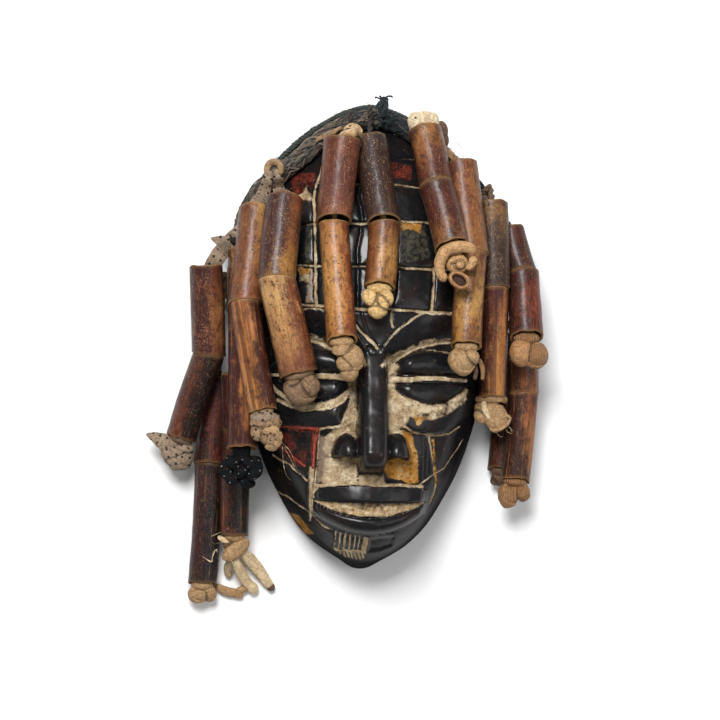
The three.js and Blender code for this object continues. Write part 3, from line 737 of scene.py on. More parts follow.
def mask_fields(x, y, settings):
    """The fine relief in millimetres, and the six paint fields."""
    spots = np.column_stack([x, y, 0 * x])
    x = x + 0.9 * ripple(spots, 0.06, 31) + 0.45 * ripple(spots, 0.2, 37)
    y = y + 0.9 * ripple(spots, 0.06, 41) + 0.45 * ripple(spots, 0.2, 43)
    fade = 1 + 0.55 * ripple(spots, 0.05, 53) + 0.5 * ripple(spots, 0.17, 59)
    side = np.abs(x)
    lines = eye_lines(side)
    relief = np.zeros(x.shape)
    # Each entry says how bare of paint the wood is for one reason. The barest one counts.
    bare = []
    tiles = np.full(x.shape, FAR)
    for k, (points, width, depth, wear) in enumerate(CUTS):
        far = from_line(x, y, points)
        width = width * settings.cut_width
        relief -= depth * settings.cut_depth * np.exp(-((far / (0.5 * width)) ** 2))
        bare.append(wear * fade * (1 - smoothed(far, 0.15 * width, 0.68 * width)))
        if k < TILE_CUTS:
            tiles = np.minimum(tiles, far)
    relief -= 1.3 * smoothed(y, 33, 40) * np.exp(-tiles / 3.2)
    over_brow = smoothed(y, lines["brow_top"] - 2, lines["brow_top"] + 2)
    relief *= np.where((y > -5) & (side > 15), over_brow, 1)
    # The brow's upper edge is a thin bare line that also serves as a painted edge highlight, and the
    # hollow under the brow is worn pale.
    edge = np.abs(y - lines["brow_top"])
    bare.append(0.9 * fade * (1 - smoothed(edge, 0.3, 1.25)) * within(side, 9, 56, 5))
    relief -= 1.0 * np.exp(-((edge - 1.0) ** 2)) * within(side, 3, 70, 6) * (y > lines["brow_top"])
    under = lines["brow_low"] - y
    over_lid = (y > lines["lid_top"] - 1) * within(side, 10, 60, 10)
    bare.append(0.95 * fade * within(under, -0.4, 1.9, 1.5) * over_lid)
    pale = within(under, -2.0, 4.5 - 0.07 * side, 3.5) * over_lid
    bare.append(0.58 * fade * pale * within(side, 10, 42, 14))
    lid = np.abs(y - lines["lid_top"])
    bare.append(0.5 * fade * (1 - smoothed(lid, 0.3, 1.2)) * within(side, 14, 66, 4))
    # Lid rim, and the pale ledge under the eyeball
    rim = within(y, lines["eye_top"] + 0.9, lines["lid_edge"] - 0.5, 0.7)
    bare.append(1.05 * rim * within(side, 14, 73, 1.5))
    ledge = lines["eye_low"] - y
    below_eye = within(side, 13, 72, 5)
    bare.append(0.95 * fade * within(ledge, 0.6, 3.4, 1.4) * below_eye)
    bare.append(0.66 * fade * within(ledge, 1.0, 13.0 - 0.09 * side, 4.0) * below_eye * (x > 0))
    left = x < 0
    ridge_line = from_line(x, y, [(-69, -31), (-52, -37.5), (-36, -37), (-22, -30), (-15, -20)])
    bare.append(np.where(left, 0.85 * fade * (1 - smoothed(ridge_line, 0.8, 2.4)), 0))
    relief -= np.where(left, 1.1 * np.exp(-((ridge_line / 1.3) ** 2)), 0)
    # Wings of the nose have a bare edge round them.
    wing = np.hypot((side - 18.5) / 10.5, np.maximum(0, y + 68) / 15)
    bare.append(within(wing, 1.03, 1.16, 0.05) * (y > -71) * (y < -49) * (side > 12))
    # Mouth: bare upper edge and a worn lens between the lips
    across = np.clip(x / 41, -1, 1)
    lip_top = -91 - 2.5 * across**2
    face = -104.5 - 10 * (1 - across**2)
    bare.append((1 - smoothed(np.abs(y - lip_top - 0.5), 0.5, 1.5)) * (side < 40))
    lens = within(y, face + 0.8, -104.2, 0.9) * (side < 41)
    bare.append((0.92 - 0.42 * share(y, face + 1.5, face + 8)) * lens)
    relief -= 0.8 * np.exp(-(((y - face - 4.2 * (1 - across**2)) / 0.8) ** 2)) * lens
    bare.append(0.76 * painted(x, y, BARE_WOOD))
    bare.append(0.95 * inside_shape(x, y, CHEEK_STRIPE, 1.0))
    relief += 0.9 * inside_shape(x, y, CHEEK_RIDGE, 1.2)
    red = np.maximum(0.64 * inside_shape(x, y, RED_PAINT[0]), painted(x, y, RED_PAINT[1:]))
    red *= np.clip(0.85 + 0.75 * ripple(spots, 0.11, 71), 0.2, 1)
    for line in RED_LINES:
        red = np.maximum(red, 1.15 * (1 - smoothed(from_line(x, y, line), 0.7, 1.6)))
    ochre = np.maximum(painted(x, y, OCHRE_PAINT), 0.45 * lens)
    teal = painted(x, y, PATINA_AND_SHEEN)
    lilac = painted(x, y, LILAC_PAINT)
    # Strokes and the recess on the chin
    panel = inside_shape(x, y, CHIN_PANEL, 1.2)
    bare.append(1.15 * panel)
    for points, width, depth in STROKES:
        far = from_line(x, y, points)
        relief -= depth * np.exp(-((far / (0.6 * width)) ** 2))
    gaps = np.min([np.abs(x - a) for a in STROKE_GAPS], axis=0)
    dark = panel * (y > -141.5) * (1 - smoothed(gaps, 0.7, 1.7))
    hatch = np.abs(((x + 0.45 * y) / 2.6) % 1.0 - 0.5) * 2
    dark = np.maximum(dark, 0.8 * panel * (y < -143) * (1 - smoothed(hatch, 0.2, 0.7)))
    relief -= 1.0 * dark * panel
    recess = inside_shape(x, y, RECESS, 1.4)
    relief -= 3.0 * recess
    dark = np.maximum(dark, recess)
    # Two worn tiles are pitted.
    pits = inside_shape(x, y, PATINA_AND_SHEEN[0], 1.5) + inside_shape(x, y, BARE_TILE_AND_HIGHLIGHT, 1.5)
    return relief, np.max(bare, axis=0) * (1 - dark), ochre, red, teal, lilac, pits


def mask_rows(settings):
    """Rows from chin to crown, with a few more at the two tips."""
    low = [-160.985, -160.93, -160.75, -160.4, -159.7, -158.7]
    high = [192.4, 193.4, 194.1, 194.55, 194.85, 194.97]
    between = settings.rows // STEP * STEP + 1 - len(low) - len(high)
    return np.concatenate([low, np.linspace(-157.6, 191.3, between), high])


def even_columns(count):
    """Places from -1 to 1, even over the face and crowding together at the two sides."""
    rate = np.clip((1 - np.abs(np.linspace(-1, 1, count + 1))) / 0.18, 0.02, 1)
    run = np.concatenate([[0], np.cumsum((rate[1:] + rate[:-1]) / 2)])
    return 2 * run / run[-1] - 1


def wood_material(settings):
    paint = Paint("painted_wood")
    place = paint.place()
    bare, ochre, red = paint.split(paint.attribute("wear", "Vector"))
    teal, lilac, pits = paint.split(paint.attribute("patina_and_sheen", "Vector"))
    raw = paint.attribute("raw")
    front = paint.attribute("front")
    broad = paint.noise(place, 55, 3)
    medium = paint.noise(place, 330, 4, 0.6)
    fine = paint.noise(place, 1500, 3, 0.6)
    grain = paint.noise(paint.stretch(place, (1, 0.16, 1)), 900, 3, 0.6)
    blotch = paint.noise(place, 140, 4, 0.65, 0.4)
    edge = (medium - 0.5) * 0.8 + (fine - 0.5) * 0.45 + (blotch - 0.5) * 0.8
    bare_here = paint.spread(bare + edge, 0.36, 0.7)
    ochre_here = paint.spread(ochre * 0.9 + edge * 1.1, 0.36, 0.68)
    red_here = paint.spread(red + edge * 0.9, 0.38, 0.66)
    teal_here = paint.spread(teal + edge * 1.4, 0.4, 0.9) * 0.7
    lilac_here = paint.spread(lilac + edge * 1.3, 0.3, 0.8) * 0.6
    brown = paint.spread(broad + (medium - 0.5) * 0.5, 0.45, 0.68)
    coat = paint.mix(brown, settings.paint, settings.brown_paint)
    rubbed = paint.spread(medium + (fine - 0.5) * 0.6, 0.6, 0.78) * paint.spread(blotch, 0.47, 0.62)
    coat = paint.mix(rubbed * 0.6, coat, tint("6b5640"))
    patina_and_sheen = paint.mix(paint.spread(medium, 0.4, 0.6), settings.teal, tint("20211f"))
    # Grey green patina, which on one forehead tile is a painted bluish sheen
    coat = paint.mix(teal_here, coat, patina_and_sheen)
    wood = paint.mix(paint.spread(grain, 0.2, 0.7), tint("988160"), settings.bare_wood)
    wood = paint.over(wood, "d0c1a4", 0.75, blotch + (medium - 0.5) * 0.4, 0.46, 0.62)
    streaks = paint.noise(paint.stretch(place, (0.22, 1, 1)), 520, 3, 0.6)
    wood = paint.over(wood, "5f4a32", 0.6, medium + (broad - 0.5) * 0.8, 0.5, 0.68)
    wood = paint.over(wood, "4a3828", 0.18, streaks + (blotch - 0.5) * 0.6, 0.52, 0.68)
    wood = paint.over(wood, "2a1f17", 0.5, fine + (medium - 0.5) * 0.6, 0.58, 0.7)
    wood = paint.shade(wood, 0.6 + blotch * 0.34 + broad * 0.42)
    thin = paint.spread(bare + edge * 0.7, 0.14, 0.5)
    coat = paint.mix(thin * 0.6, coat, tint("3d2c1d"))
    red_tone = paint.mix(paint.spread(medium, 0.4, 0.6), settings.red, tint("351712"))
    red_tone = paint.over(red_tone, "241512", 0.75, blotch, 0.46, 0.62)
    red_tone = paint.over(red_tone, "96544a", 0.4, grain + (fine - 0.5) * 0.5, 0.56, 0.7)
    lined = paint.spread(red, 0.98, 1.06) * paint.spread(medium + fine, 0.85, 1.05)
    red_tone = paint.mix(lined * 0.8, red_tone, tint("a8483a"))
    gold = paint.mix(paint.spread(fine, 0.46, 0.62), settings.ochre, tint("7a5222"))
    gold = paint.over(gold, "32230f", 0.7, medium, 0.54, 0.66)
    gold = paint.over(gold, "c2a878", 0.5, blotch, 0.5, 0.66)
    colour = paint.mix(bare_here, coat, wood)
    colour = paint.mix(lilac_here, colour, paint.shade(settings.lilac, 0.5 + medium * 0.9))
    colour = paint.mix(ochre_here, colour, gold)
    colour = paint.mix(red_here, colour, red_tone)
    back = paint.mix(paint.spread(grain, 0.35, 0.65), tint("6b4d30"), tint("8f6f48"))
    back = paint.shade(back, 0.55 + broad * 0.8)
    colour = paint.mix(raw, colour, back)
    worn = bare_here
    for other in (lilac_here, ochre_here, raw):
        worn = worn.apply("MAXIMUM", worn, other)
    roughness = 0.25 + medium * 0.22 + worn * 0.35 + teal_here * 0.12 + (1 - front) * 0.2
    height = paint.noise(place, 190, 2, 0.5) * 1.1 + medium * 1.2 + blotch * 0.5
    height = height + fine * (0.1 + worn * 0.12) + grain * (worn * 0.15) - worn * 0.12
    height = height + paint.noise(place, 420, 3, 0.7) * (pits * 1.6)
    gloss_coat = (1 - worn) * (0.05 + front * 0.5)
    return paint.finish(colour, roughness, height, 1.1 * MM, coat=gloss_coat, shine=0.0, gloss=0.26)


class OBJECT_OT_carved_mask(bpy.types.Operator):
    """Carve the mask with its features, cuts and worn paint"""

    bl_idname = "object.carved_mask"
    bl_label = "Carved mask"

    def execute(self, context):
        settings = context.scene.mask_settings
        rows = mask_rows(settings)
        columns, count = settings.columns // STEP * STEP, len(rows)
        turn = even_columns(columns)
        half = through_stations(rows, 1)
        x = (half[:, None] * turn[None, :]).ravel()
        y = np.repeat(rows, columns + 1)
        plain, arch = plain_height(x, y)
        relief, bare, ochre, red, teal, lilac, pits = mask_fields(x, y, settings)
        rough = np.column_stack([x, y, plain])
        hand = 0.55 * ripple(rough, 0.055) + 0.3 * ripple(rough, 0.16, 5)
        depth = carving(x, y) * smoothed(arch, 0.15, 0.6) + (relief + hand) * smoothed(arch, 0.12, 0.4)
        z = np.maximum(plain + depth, 0).reshape(count, columns + 1)
        z[[0, -1], :] = 0
        z[:, [0, -1]] = 0
        z = z.ravel()
        bm = bmesh.new()
        bmesh.ops.create_grid(bm, x_segments=columns, y_segments=count - 1, size=1.0)
        move_points(bm, np.column_stack([x * MM + SHIFT.x, y * MM + SHIFT.y, z * MM]))
        bm.verts.index_update()
        front_verts = set(bm.verts)
        # The flat rim, drawn out from the edge of the face, later meets the edge of the hollow.
        drawn = bmesh.ops.extrude_edge_only(bm, edges=[e for e in bm.edges if e.is_boundary])["geom"]
        rim = [v for v in drawn if isinstance(v, bmesh.types.BMVert)]
        joined = [{e.other_vert(v) for e in v.link_edges} & front_verts for v in rim]
        sources = [found.pop().index for found in joined]
        # The hollow behind the face, from a coarser grid
        spans = columns // STEP
        inner_rows = HOLLOW_LOW + (rows[::STEP] - rows[0]) / (rows[-1] - rows[0]) * (HOLLOW_HIGH - HOLLOW_LOW)
        inner_rows[1], inner_rows[-2] = inner_rows[0] + 0.2, inner_rows[-1] - 0.2
        inner_turn = turn[::STEP]
        inner_half = np.maximum(4, through_stations(inner_rows, 1) - WALL_SIDE)
        inner_depth = np.maximum(6, through_stations(inner_rows, 2) - WALL_FRONT)
        inner_depth[0] = inner_depth[-1] = 0
        made = bmesh.ops.create_grid(bm, x_segments=spans, y_segments=len(inner_rows) - 1, size=1.0)["verts"]
        hollow_x = (inner_half[:, None] * inner_turn[None, :]).ravel()
        hollow_y = np.repeat(inner_rows, spans + 1)
        bend = np.maximum(0, 1 - np.abs(inner_turn) ** SECTION_POWER) ** (1 / SECTION_POWER)
        hollow_z = (inner_depth[:, None] * bend[None, :]).ravel()
        gouge = ripple(np.column_stack([hollow_x, hollow_y * 0.5, hollow_z]), 0.09, 20)
        hollow_z = np.where(hollow_z > 2, hollow_z + 1.1 * gouge, hollow_z)
        for k, vert in enumerate(made):
            vert.co = local(hollow_x[k], hollow_y[k], hollow_z[k])
        for vert, source in zip(rim, sources):
            row, column = divmod(source, columns + 1)
            low = made[row // STEP * (spans + 1) + column // STEP].co
            high = made[-(-row // STEP) * (spans + 1) - (-column // STEP)].co
            vert.co = low.lerp(high, (row % STEP + column % STEP) / STEP)
        inside = set(made)
        hollow_rim = [e for e in bm.edges if e.is_boundary and e.verts[0] in inside]
        bmesh.ops.subdivide_edges(bm, edges=hollow_rim, cuts=STEP - 1)
        open_verts = [v for v in bm.verts if any(e.is_boundary for e in v.link_edges)]
        bmesh.ops.remove_doubles(bm, verts=open_verts, dist=1e-6)
        zeros = np.zeros(len(bm.verts) - len(front_verts))
        front = smoothed(plain, 42, 74) * smoothed(arch, 0.4, 0.8)
        fields = {
            "wear": np.column_stack([np.concatenate([f, zeros]) for f in (bare, ochre, red)]),
            "patina_and_sheen": np.column_stack([np.concatenate([f, zeros]) for f in (teal, lilac, pits)]),
            "raw": np.concatenate([np.zeros(len(front_verts)), zeros + 1]),
            "front": np.concatenate([front, zeros]),
        }
        made = finished(bm, "face_mask", wood_material(settings), fields, merge=0)
        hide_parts("carved_mask")
        return {"FINISHED"}


# Bamboo

STRANDS = [f"left_{n}" for n in range(1, 7)] + ["centre_1", "centre_2"]
STRANDS += [f"right_{n}" for n in range(1, 7)]

# Looks of the tubes: three colours from the upper to the lower end and that of the patches, how
# patchy it is, dark freckles, light flecks that are partly painted glints, fibre streaks, and the
# side on which the patches gather, darkening that side partly as painted shade (-1 left, 1 right)
CANES = {
    "left_1_upper": ("5a2a1f 8c5a36 74432b 3a1a18", 0.5, 0.5, 0.9, 0.1, -1),
    "left_1_lower": ("4f281c 43201a 6a3a24 16100f", 0.5, 0.1, 0.5, 0.1, 1),
    "left_2_upper": ("3e1915 4a1c16 4e1c15 211010", 0.42, 0.1, 0.2, 0.2, 0),
    "left_2_lower": ("3a1c1a 351819 281413 120e0f", 0.52, 0.1, 0.3, 0.2, 1),
    "left_3_upper": ("8f6236 7a4e2b 55301f 3f2218", 0.4, 0.6, 0.2, 0.2, 0),
    "left_3_lower": ("8e4a28 a0622f 955a2e 3a1612", 0.5, 0.1, 0.1, 0.95, 0),
    "left_4_upper": ("4a1c18 4a1b17 3c1614 22100f", 0.4, 0.1, 0.2, 0.3, 0),
    "left_4_lower": ("4c211a 41201b 5e3020 120e10", 0.54, 0.1, 0.1, 0.6, 1),
    "left_5_upper": ("9c7444 8a5b34 693924 643a22", 0.4, 0.5, 0.4, 0.2, -1),
    "left_5_lower": ("96603a a86a35 b07842 3c1812", 0.45, 0.1, 0.1, 0.9, 1),
    "left_6_upper": ("63351f 744526 94682f 371c19", 0.47, 0.4, 0.9, 0.1, -1),
    "left_6_lower": ("b8925f a87a4a 744630 6b3a24", 0.46, 0.9, 0.7, 0.2, 1),
    "centre_1_upper": ("5f2f1f 4e261e 704230 7c4c32", 0.3, 0.3, 0.8, 0.1, 0),
    "centre_1_lower": ("946237 ad7b45 94602f 70391f", 0.34, 1.0, 0.2, 0.3, 1),
    "centre_2_upper": ("2a1f1d 291d1b 372824 36201b", 0.34, 0.1, 1.0, 0.2, 0),
    "centre_2_lower": ("54291b 9c6f3c 8f5f32 6e4020", 0.36, 1.0, 0.3, 0.2, -1),
    "right_1_upper": ("865a32 744626 5a2e1c 4c2418", 0.44, 0.7, 0.4, 0.1, 0),
    "right_1_lower": ("4c2218 4a2218 82542f 331712", 0.42, 0.5, 0.6, 0.1, 0),
    "right_2_upper": ("552a1c 6a3c23 8c5e34 7c4f2e", 0.4, 0.4, 0.3, 0.2, 0),
    "right_2_lower": ("825630 a37a44 94662f 6a3e22", 0.36, 0.8, 0.2, 0.2, 0),
    "right_3_upper": ("7a5530 3f2c22 382720 2c1f1a", 0.42, 0.4, 0.9, 0.1, 0),
    "right_3_lower": ("845032 9c6537 a36d36 43201a", 0.4, 0.2, 0.2, 0.9, -1),
    "right_4_upper": ("452019 3d1b16 421f1a 281512", 0.4, 0.1, 0.4, 0.1, 0),
    "right_4_lower": ("5c2619 64291b 4c1f16 2e1310", 0.4, 0.1, 0.5, 0.1, -1),
    "right_5_upper": ("5c2e1e 7a4426 8a5430 32190f", 0.44, 0.1, 0.2, 0.7, -1),
    "right_5_lower": ("6e3620 8f5830 94602f 2e140e", 0.5, 0.1, 0.1, 1.0, -1),
    "right_6_upper": ("5c2e1e 4a2419 4a2419 2a1511", 0.4, 0.1, 0.2, 0.3, 0),
    "right_6_lower": ("5a2a1c 5f2c1c 4f2518 2a1410", 0.4, 0.1, 0.3, 0.6, 0),
}
# Tubes with streaks from this on are fluted as well.
FLUTED = 0.7
# Strands whose lower tube starts inside the upper one
NESTED = ("centre_1", "centre_2")
# How far the cuts at each tube's two ends lean, and how far a joint's ends are drawn out to close it
ARCHES = {"upper": (2.0, 2.5), "lower": (2.5, 2.5)}
NESTED_ARCHES = {"upper": (2.0, 3.6), "lower": (1.0, 2.5)}
JOINT_REACH = 0.4
# The visible tube's radius against the CAD tube's, which leaves room for its bumps
TUBE_SHARE = 0.985
# How far from a tube's ends its slanted cut and its arch are felt
CUT_REACH, ARCH_REACH = 18 * MM, 16 * MM


class Tube:
    """A CAD tube's two ends and the planes they are cut on."""

    def __init__(self, node):
        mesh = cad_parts[node].data
        points = np.unique(np.round([v.co[:] for v in mesh.vertices], 7), axis=0)
        middle = points.mean(axis=0)
        axis = np.linalg.svd(points - middle, full_matrices=False)[2][0]
        far = (points - middle) @ axis > 0
        self.ends = [points[~far].mean(axis=0), points[far].mean(axis=0)]
        self.planes = [np.linalg.svd(g - g.mean(axis=0))[2][2] for g in (points[~far], points[far])]
        span = self.ends[1] - self.ends[0]
        off = points - self.ends[0]
        along = span / np.linalg.norm(span)
        self.radius = np.linalg.norm(off - np.outer(off @ along, along), axis=1).max()

    def turn(self):
        self.ends.reverse()
        self.planes.reverse()


class Strand:
    """The places of one strand, read from its two tubes."""

    def __init__(self, name):
        self.name = name
        self.upper = Tube(f"{name}_upper_tube")
        self.lower = Tube(f"{name}_lower_tube")
        middle = (self.lower.ends[0] + self.lower.ends[1]) / 2
        if np.linalg.norm(self.upper.ends[0] - middle) < np.linalg.norm(self.upper.ends[1] - middle):
            self.upper.turn()
        near = self.upper.ends[1]
        if np.linalg.norm(self.lower.ends[1] - near) < np.linalg.norm(self.lower.ends[0] - near):
            self.lower.turn()
        self.top, self.joint, self.end = self.upper.ends[0], self.lower.ends[0], self.lower.ends[1]
        self.away = unit(self.end - self.joint)
        self.back = unit(self.top - self.upper.ends[1])


def bamboo_material(settings):
    paint = Paint("bamboo")
    cane = paint.attribute("cane", "Vector")
    patchy, freckle, streak = paint.split(paint.attribute("marks", "Vector"))
    rim, inner, fleck_and_glint = paint.split(paint.attribute("wall", "Vector"))
    # Painted shade on the sides of a tube that face away from up; the same attribute also darkens the tube
    # near its two ends
    side_shade_and_dark_ends = paint.attribute("side_shade_and_dark_ends")
    broad = paint.noise(paint.stretch(cane, (1, 1, 0.45)), 60, 4, 0.6)
    mottle = paint.noise(cane, 330, 4, 0.65)
    fine = paint.noise(cane, 1300, 3, 0.6)
    fibre = paint.noise(paint.stretch(cane, (1, 1, 0.035)), 700, 3, 0.6)
    band = paint.noise(paint.stretch(cane, (1, 1, 0.03)), 170, 2, 0.5)
    edge = (mottle - 0.5) * 0.6 + (fine - 0.5) * 0.4
    # The patches spread further where the painted side shade falls.
    patch = paint.spread(broad + patchy - 0.45 + side_shade_and_dark_ends * 0.5 + edge * (1 - streak * 0.7), 0.42, 0.6)
    tone, patch_tone = paint.attribute("tone", "Color"), paint.attribute("patch_tone", "Color")
    colour = paint.mix(patch, tone, patch_tone)
    colour = paint.shade(colour, mottle * 1.2 + fine * 1.3 - 0.25)
    grime = paint.noise(paint.stretch(cane, (1, 1, 0.6)), 150, 4, 0.7, 0.5)
    # Grime, deepened by the painted side shade
    grime_and_side_shade = paint.spread(grime + side_shade_and_dark_ends * 0.3 + edge * 0.3, 0.52, 0.66)
    colour = paint.mix(grime_and_side_shade * 0.62, colour, tint("2e150d"))
    worn = paint.spread(1 - grime + (fine - 0.5) * 0.5, 0.56, 0.68)
    colour = paint.mix(worn * 0.5, colour, paint.shade(tone, 0.9 + fine * 1.1))
    colour = paint.mix(paint.spread(band, 0.5, 0.62) * streak * 0.75, colour, patch_tone)
    lines = paint.spread(fibre, 0.52, 0.72)
    colour = paint.mix(lines * (0.14 + streak * 0.5), colour, tint("2c140c"))
    light_lines = paint.spread(1 - fibre, 0.56, 0.76)
    colour = paint.mix(light_lines * (0.08 + streak * 0.35), colour, tint("cc9457"))
    scratches = paint.spread(paint.noise(paint.stretch(cane, (1, 1, 0.16)), 1500, 2, 0.5), 0.62, 0.7)
    colour = paint.mix(scratches * (0.08 + fleck_and_glint * 0.1), colour, tint("dcb680"))
    spots = paint.noise(paint.stretch(cane, (1, 1, 0.7)), 620, 3, 0.7, 0.6)
    grouped = paint.spread(paint.noise(cane, 90, 2), 0.38, 0.62)
    dots = paint.spread(spots + (fine - 0.5) * 0.4, 0.55, 0.63) * (0.35 + grouped * 0.65)
    colour = paint.mix(dots * (0.25 + freckle * 0.65), colour, tint("2a150c"))
    # Light flecks, partly painted glints
    flecks_and_glints = paint.spread(paint.noise(paint.stretch(cane, (1, 1, 0.8)), 1250, 3, 0.7), 0.6, 0.68)
    flecks_and_glints = flecks_and_glints * paint.spread(paint.noise(cane, 95, 3, 0.7), 0.42, 0.6) * (0.2 + fleck_and_glint * 0.8)
    colour = paint.mix(flecks_and_glints * 0.8, colour, tint("d6b48c"))
    # Painted shade on the sides that face away from up, and darker near the ends
    colour = paint.over(colour, "2b1712", 0.45, side_shade_and_dark_ends, 0.06, 0.26)
    cut_end = paint.mix(0.45, tone, settings.rim)
    colour = paint.mix(rim, colour, paint.shade(cut_end, 0.45 + mottle * 0.9))
    colour = paint.mix(inner, colour, paint.shade(settings.inside, 0.5 + mottle * 0.9))
    roughness = 0.3 + mottle * 0.2 + flecks_and_glints * 0.25 + dots * 0.15 + (rim + inner) * 0.3
    height = fibre * (0.15 + streak * 0.6) + mottle * 0.4 + fine * 0.12 - dots * 0.2 + grime * 0.3
    return paint.finish(colour, roughness, height, 0.7 * MM, coat=(1 - rim) * 0.12, strength=0.9, shine=0.22)


def make_cane(name, tube, arches, reach, seed, material, settings):
    """One bamboo tube, spun from its wall's profile and set between the CAD tube's ends.

    arches holds how far each end's cut leans towards the crown on the side that faces up, and
    reach how far the end that meets the strand's other tube is drawn out to close the joint.
    """
    start, stop = tube.ends
    way = unit(stop - start) * reach * MM
    is_upper = name.endswith("upper")
    start, stop = (start, stop + way) if is_upper else (start - way, stop)
    length = np.linalg.norm(stop - start)
    radius = tube.radius * TUBE_SHARE
    bore = radius - settings.wall
    codes, patchy, freckle, fleck_and_glint, streak, patch_and_shade_side = CANES[name]
    *stops, patch = (tint(code) for code in codes.split())
    rings = max(10, int(length / (2.2 * MM)))
    outer = [(radius, z) for z in np.linspace(0.7 * MM, length - 0.7 * MM, rings)]
    inner = [(bore, z) for z in np.linspace(length - 0.5 * MM, 0.5 * MM, 12)]
    low = [(bore + 0.35 * MM, 0.0), (radius - 0.6 * MM, 0.0), (radius - 0.15 * MM, 0.2 * MM)]
    high = [(radius - 0.15 * MM, length - 0.2 * MM), (radius - 0.6 * MM, length), (bore + 0.35 * MM, length)]
    bm = bmesh.new()
    verts = [bm.verts.new((r, 0, z)) for r, z in low + outer + high + inner]
    edges = [bm.edges.new((verts[i], verts[(i + 1) % len(verts)])) for i in range(len(verts))]
    bmesh.ops.spin(
        bm, geom=verts + edges, cent=(0, 0, 0), axis=(0, 0, 1), angle=2 * math.pi,
        steps=settings.around, use_merge=True,
    )
    points = as_points(bm)
    wall = np.hypot(points[:, 0], points[:, 1])
    turn = np.arctan2(points[:, 1], points[:, 0])
    part = points[:, 2] / length
    random = np.random.RandomState(seed)
    phase = random.uniform(0, 6.28, 4)
    swell = 1 + 0.016 * np.cos(2 * turn + phase[0]) + 0.012 * np.sin(3.1 * part + phase[1])
    ends = np.exp(-part * length / (5 * MM)), np.exp(-(1 - part) * length / (5 * MM))
    swell += random.uniform(-0.012, 0.02) * ends[0] + random.uniform(-0.01, 0.022) * ends[1]
    if streak >= FLUTED:
        swell += 0.012 * np.cos(9 * turn + phase[2]) + 0.008 * np.cos(17 * turn + phase[3])
    bumps = ripple(points * (1, 1, 0.6), 160, seed * 3.7)
    size = wall * swell + 0.22 * MM * bumps
    bow = settings.bow * 4 * part * (1 - part)
    height = points[:, 2]
    shaped = np.column_stack([size * np.cos(turn) + bow * math.cos(phase[1]), size * np.sin(turn), height])
    chips = 0.45 * MM * np.sin(3 * turn + phase[2]) + 0.3 * MM * np.sin(7 * turn + phase[0])
    chipped = (0.8, 0.2) if is_upper else (0.2, 0.8)
    shaped[:, 2] += chips * (chipped[0] * ends[0] ** 3 + chipped[1] * ends[1] ** 3)
    # The tube's own axes: along it, level across it, and the third
    along = (stop - start) / length
    across = unit(np.cross(along, (0, 0, 1)))
    axes = np.array([across, np.cross(along, across), along])
    weights = 1 - smoothed(height, 0, CUT_REACH), smoothed(height, length - CUT_REACH, length)
    for normal, weight in zip(tube.planes, weights):
        plane = axes @ normal
        if abs(plane[2]) > 0.3:
            shaped[:, 2] -= weight * (shaped[:, 0] * plane[0] + shaped[:, 1] * plane[1]) / plane[2]
    upward = np.cos(turn) * axes[0, 2] + np.sin(turn) * axes[1, 2]
    near = np.minimum(height, length - height)
    shaped[:, 2] -= np.where(part < 0.5, *arches) * MM * (1 - smoothed(near, 0, ARCH_REACH)) * upward
    move_points(bm, start + shaped @ axes)
    is_inner = smoothed(bore - wall, -0.3 * MM, 0.0) * smoothed(near, 0.5 * MM, 3 * MM)
    is_rim = 1 - smoothed(near, 0.3 * MM, 0.9 * MM)
    tone = np.column_stack([np.interp(part, [0, 0.5, 1], channel) for channel in zip(*stops)])
    facing = -np.cos(turn) if across[0] < 0 else np.cos(turn)
    same = np.ones(len(part))
    fields = {
        "cane": shaped + (seed * 0.37, seed * 0.11, 0),
        # Patches on one side of the tube, standing in part for painted shade on that side
        "marks": np.column_stack([patchy + 0.24 * patch_and_shade_side * facing, freckle * same, streak * same]),
        "wall": np.column_stack([is_rim, is_inner, fleck_and_glint * same]),
        # Painted shade: darker on the sides and underside that face away from up, and darker near the two
        # ends
        "side_shade_and_dark_ends": 0.3 * (1 - np.maximum(upward, 0)) ** 1.4 + 0.12 * (ends[0] + ends[1]),
    }
    shades = {"tone": tone, "patch_tone": np.outer(same, patch)}
    made = finished(bm, f"{name}_cane", material, fields, shades, merge=0)
    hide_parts(f"{name}_tube")
    return made


class OBJECT_OT_bamboo_tubes(bpy.types.Operator):
    """Make the two bamboo tubes of every strand"""

    bl_idname = "object.bamboo_tubes"
    bl_label = "Bamboo tubes"

    def execute(self, context):
        settings = context.scene.cane_settings
        material = bamboo_material(settings)
        for number, name in enumerate(STRANDS):
            strand = Strand(name)
            arches, reach = (NESTED_ARCHES, 0.0) if name in NESTED else (ARCHES, JOINT_REACH)
            for k, (part, tube) in enumerate((("upper", strand.upper), ("lower", strand.lower))):
                look = f"{name}_{part}"
                made = make_cane(look, tube, arches[part], reach, 2 * number + k + 1, material, settings)
        return {"FINISHED"}


# Leather

LIGHT, PALE, TAN, BROWN, GREY = (tint(c) for c in ("9f7f59", "cbb48e", "856543", "5a432e", "8a7763"))
CREAM, BLACK, YELLOW, DARK, HUSK = (tint(c) for c in ("c8b697", "0a1013", "c4a36c", "2c2620", "a2774e"))
UMBER, STRAW, DUN, OAT = (tint(c) for c in ("7c6248", "b18a5e", "8d7152", "b7996f"))

# Thongs that are twisted: place on the roll, half thickness and colour. The others hang from straps.
HEADS = {
    "left_2": ((-98, 62), 2.2, BROWN), "left_3": ((-98, 86), 2.2, DARK),
    "left_4": ((-98, 40), 2.2, BROWN), "centre_1": ((-22, 186), 2.2, DARK),
    "centre_2": ((-4, 182), 2.2, DARK), "right_2": ((52, 173), 2.0, BROWN),
    "right_3": ((84, 130), 2.2, BROWN), "right_4": ((95, 112), 2.2, BROWN),
    "right_5": ((98, 54), 2.2, BROWN), "right_6": ((98, 32), 2.2, BROWN),
}
# A twisted thong's half width, and the height of its middle over the roll
HEAD_WIDTH, HEAD_HEIGHT = 2.6, 4.0

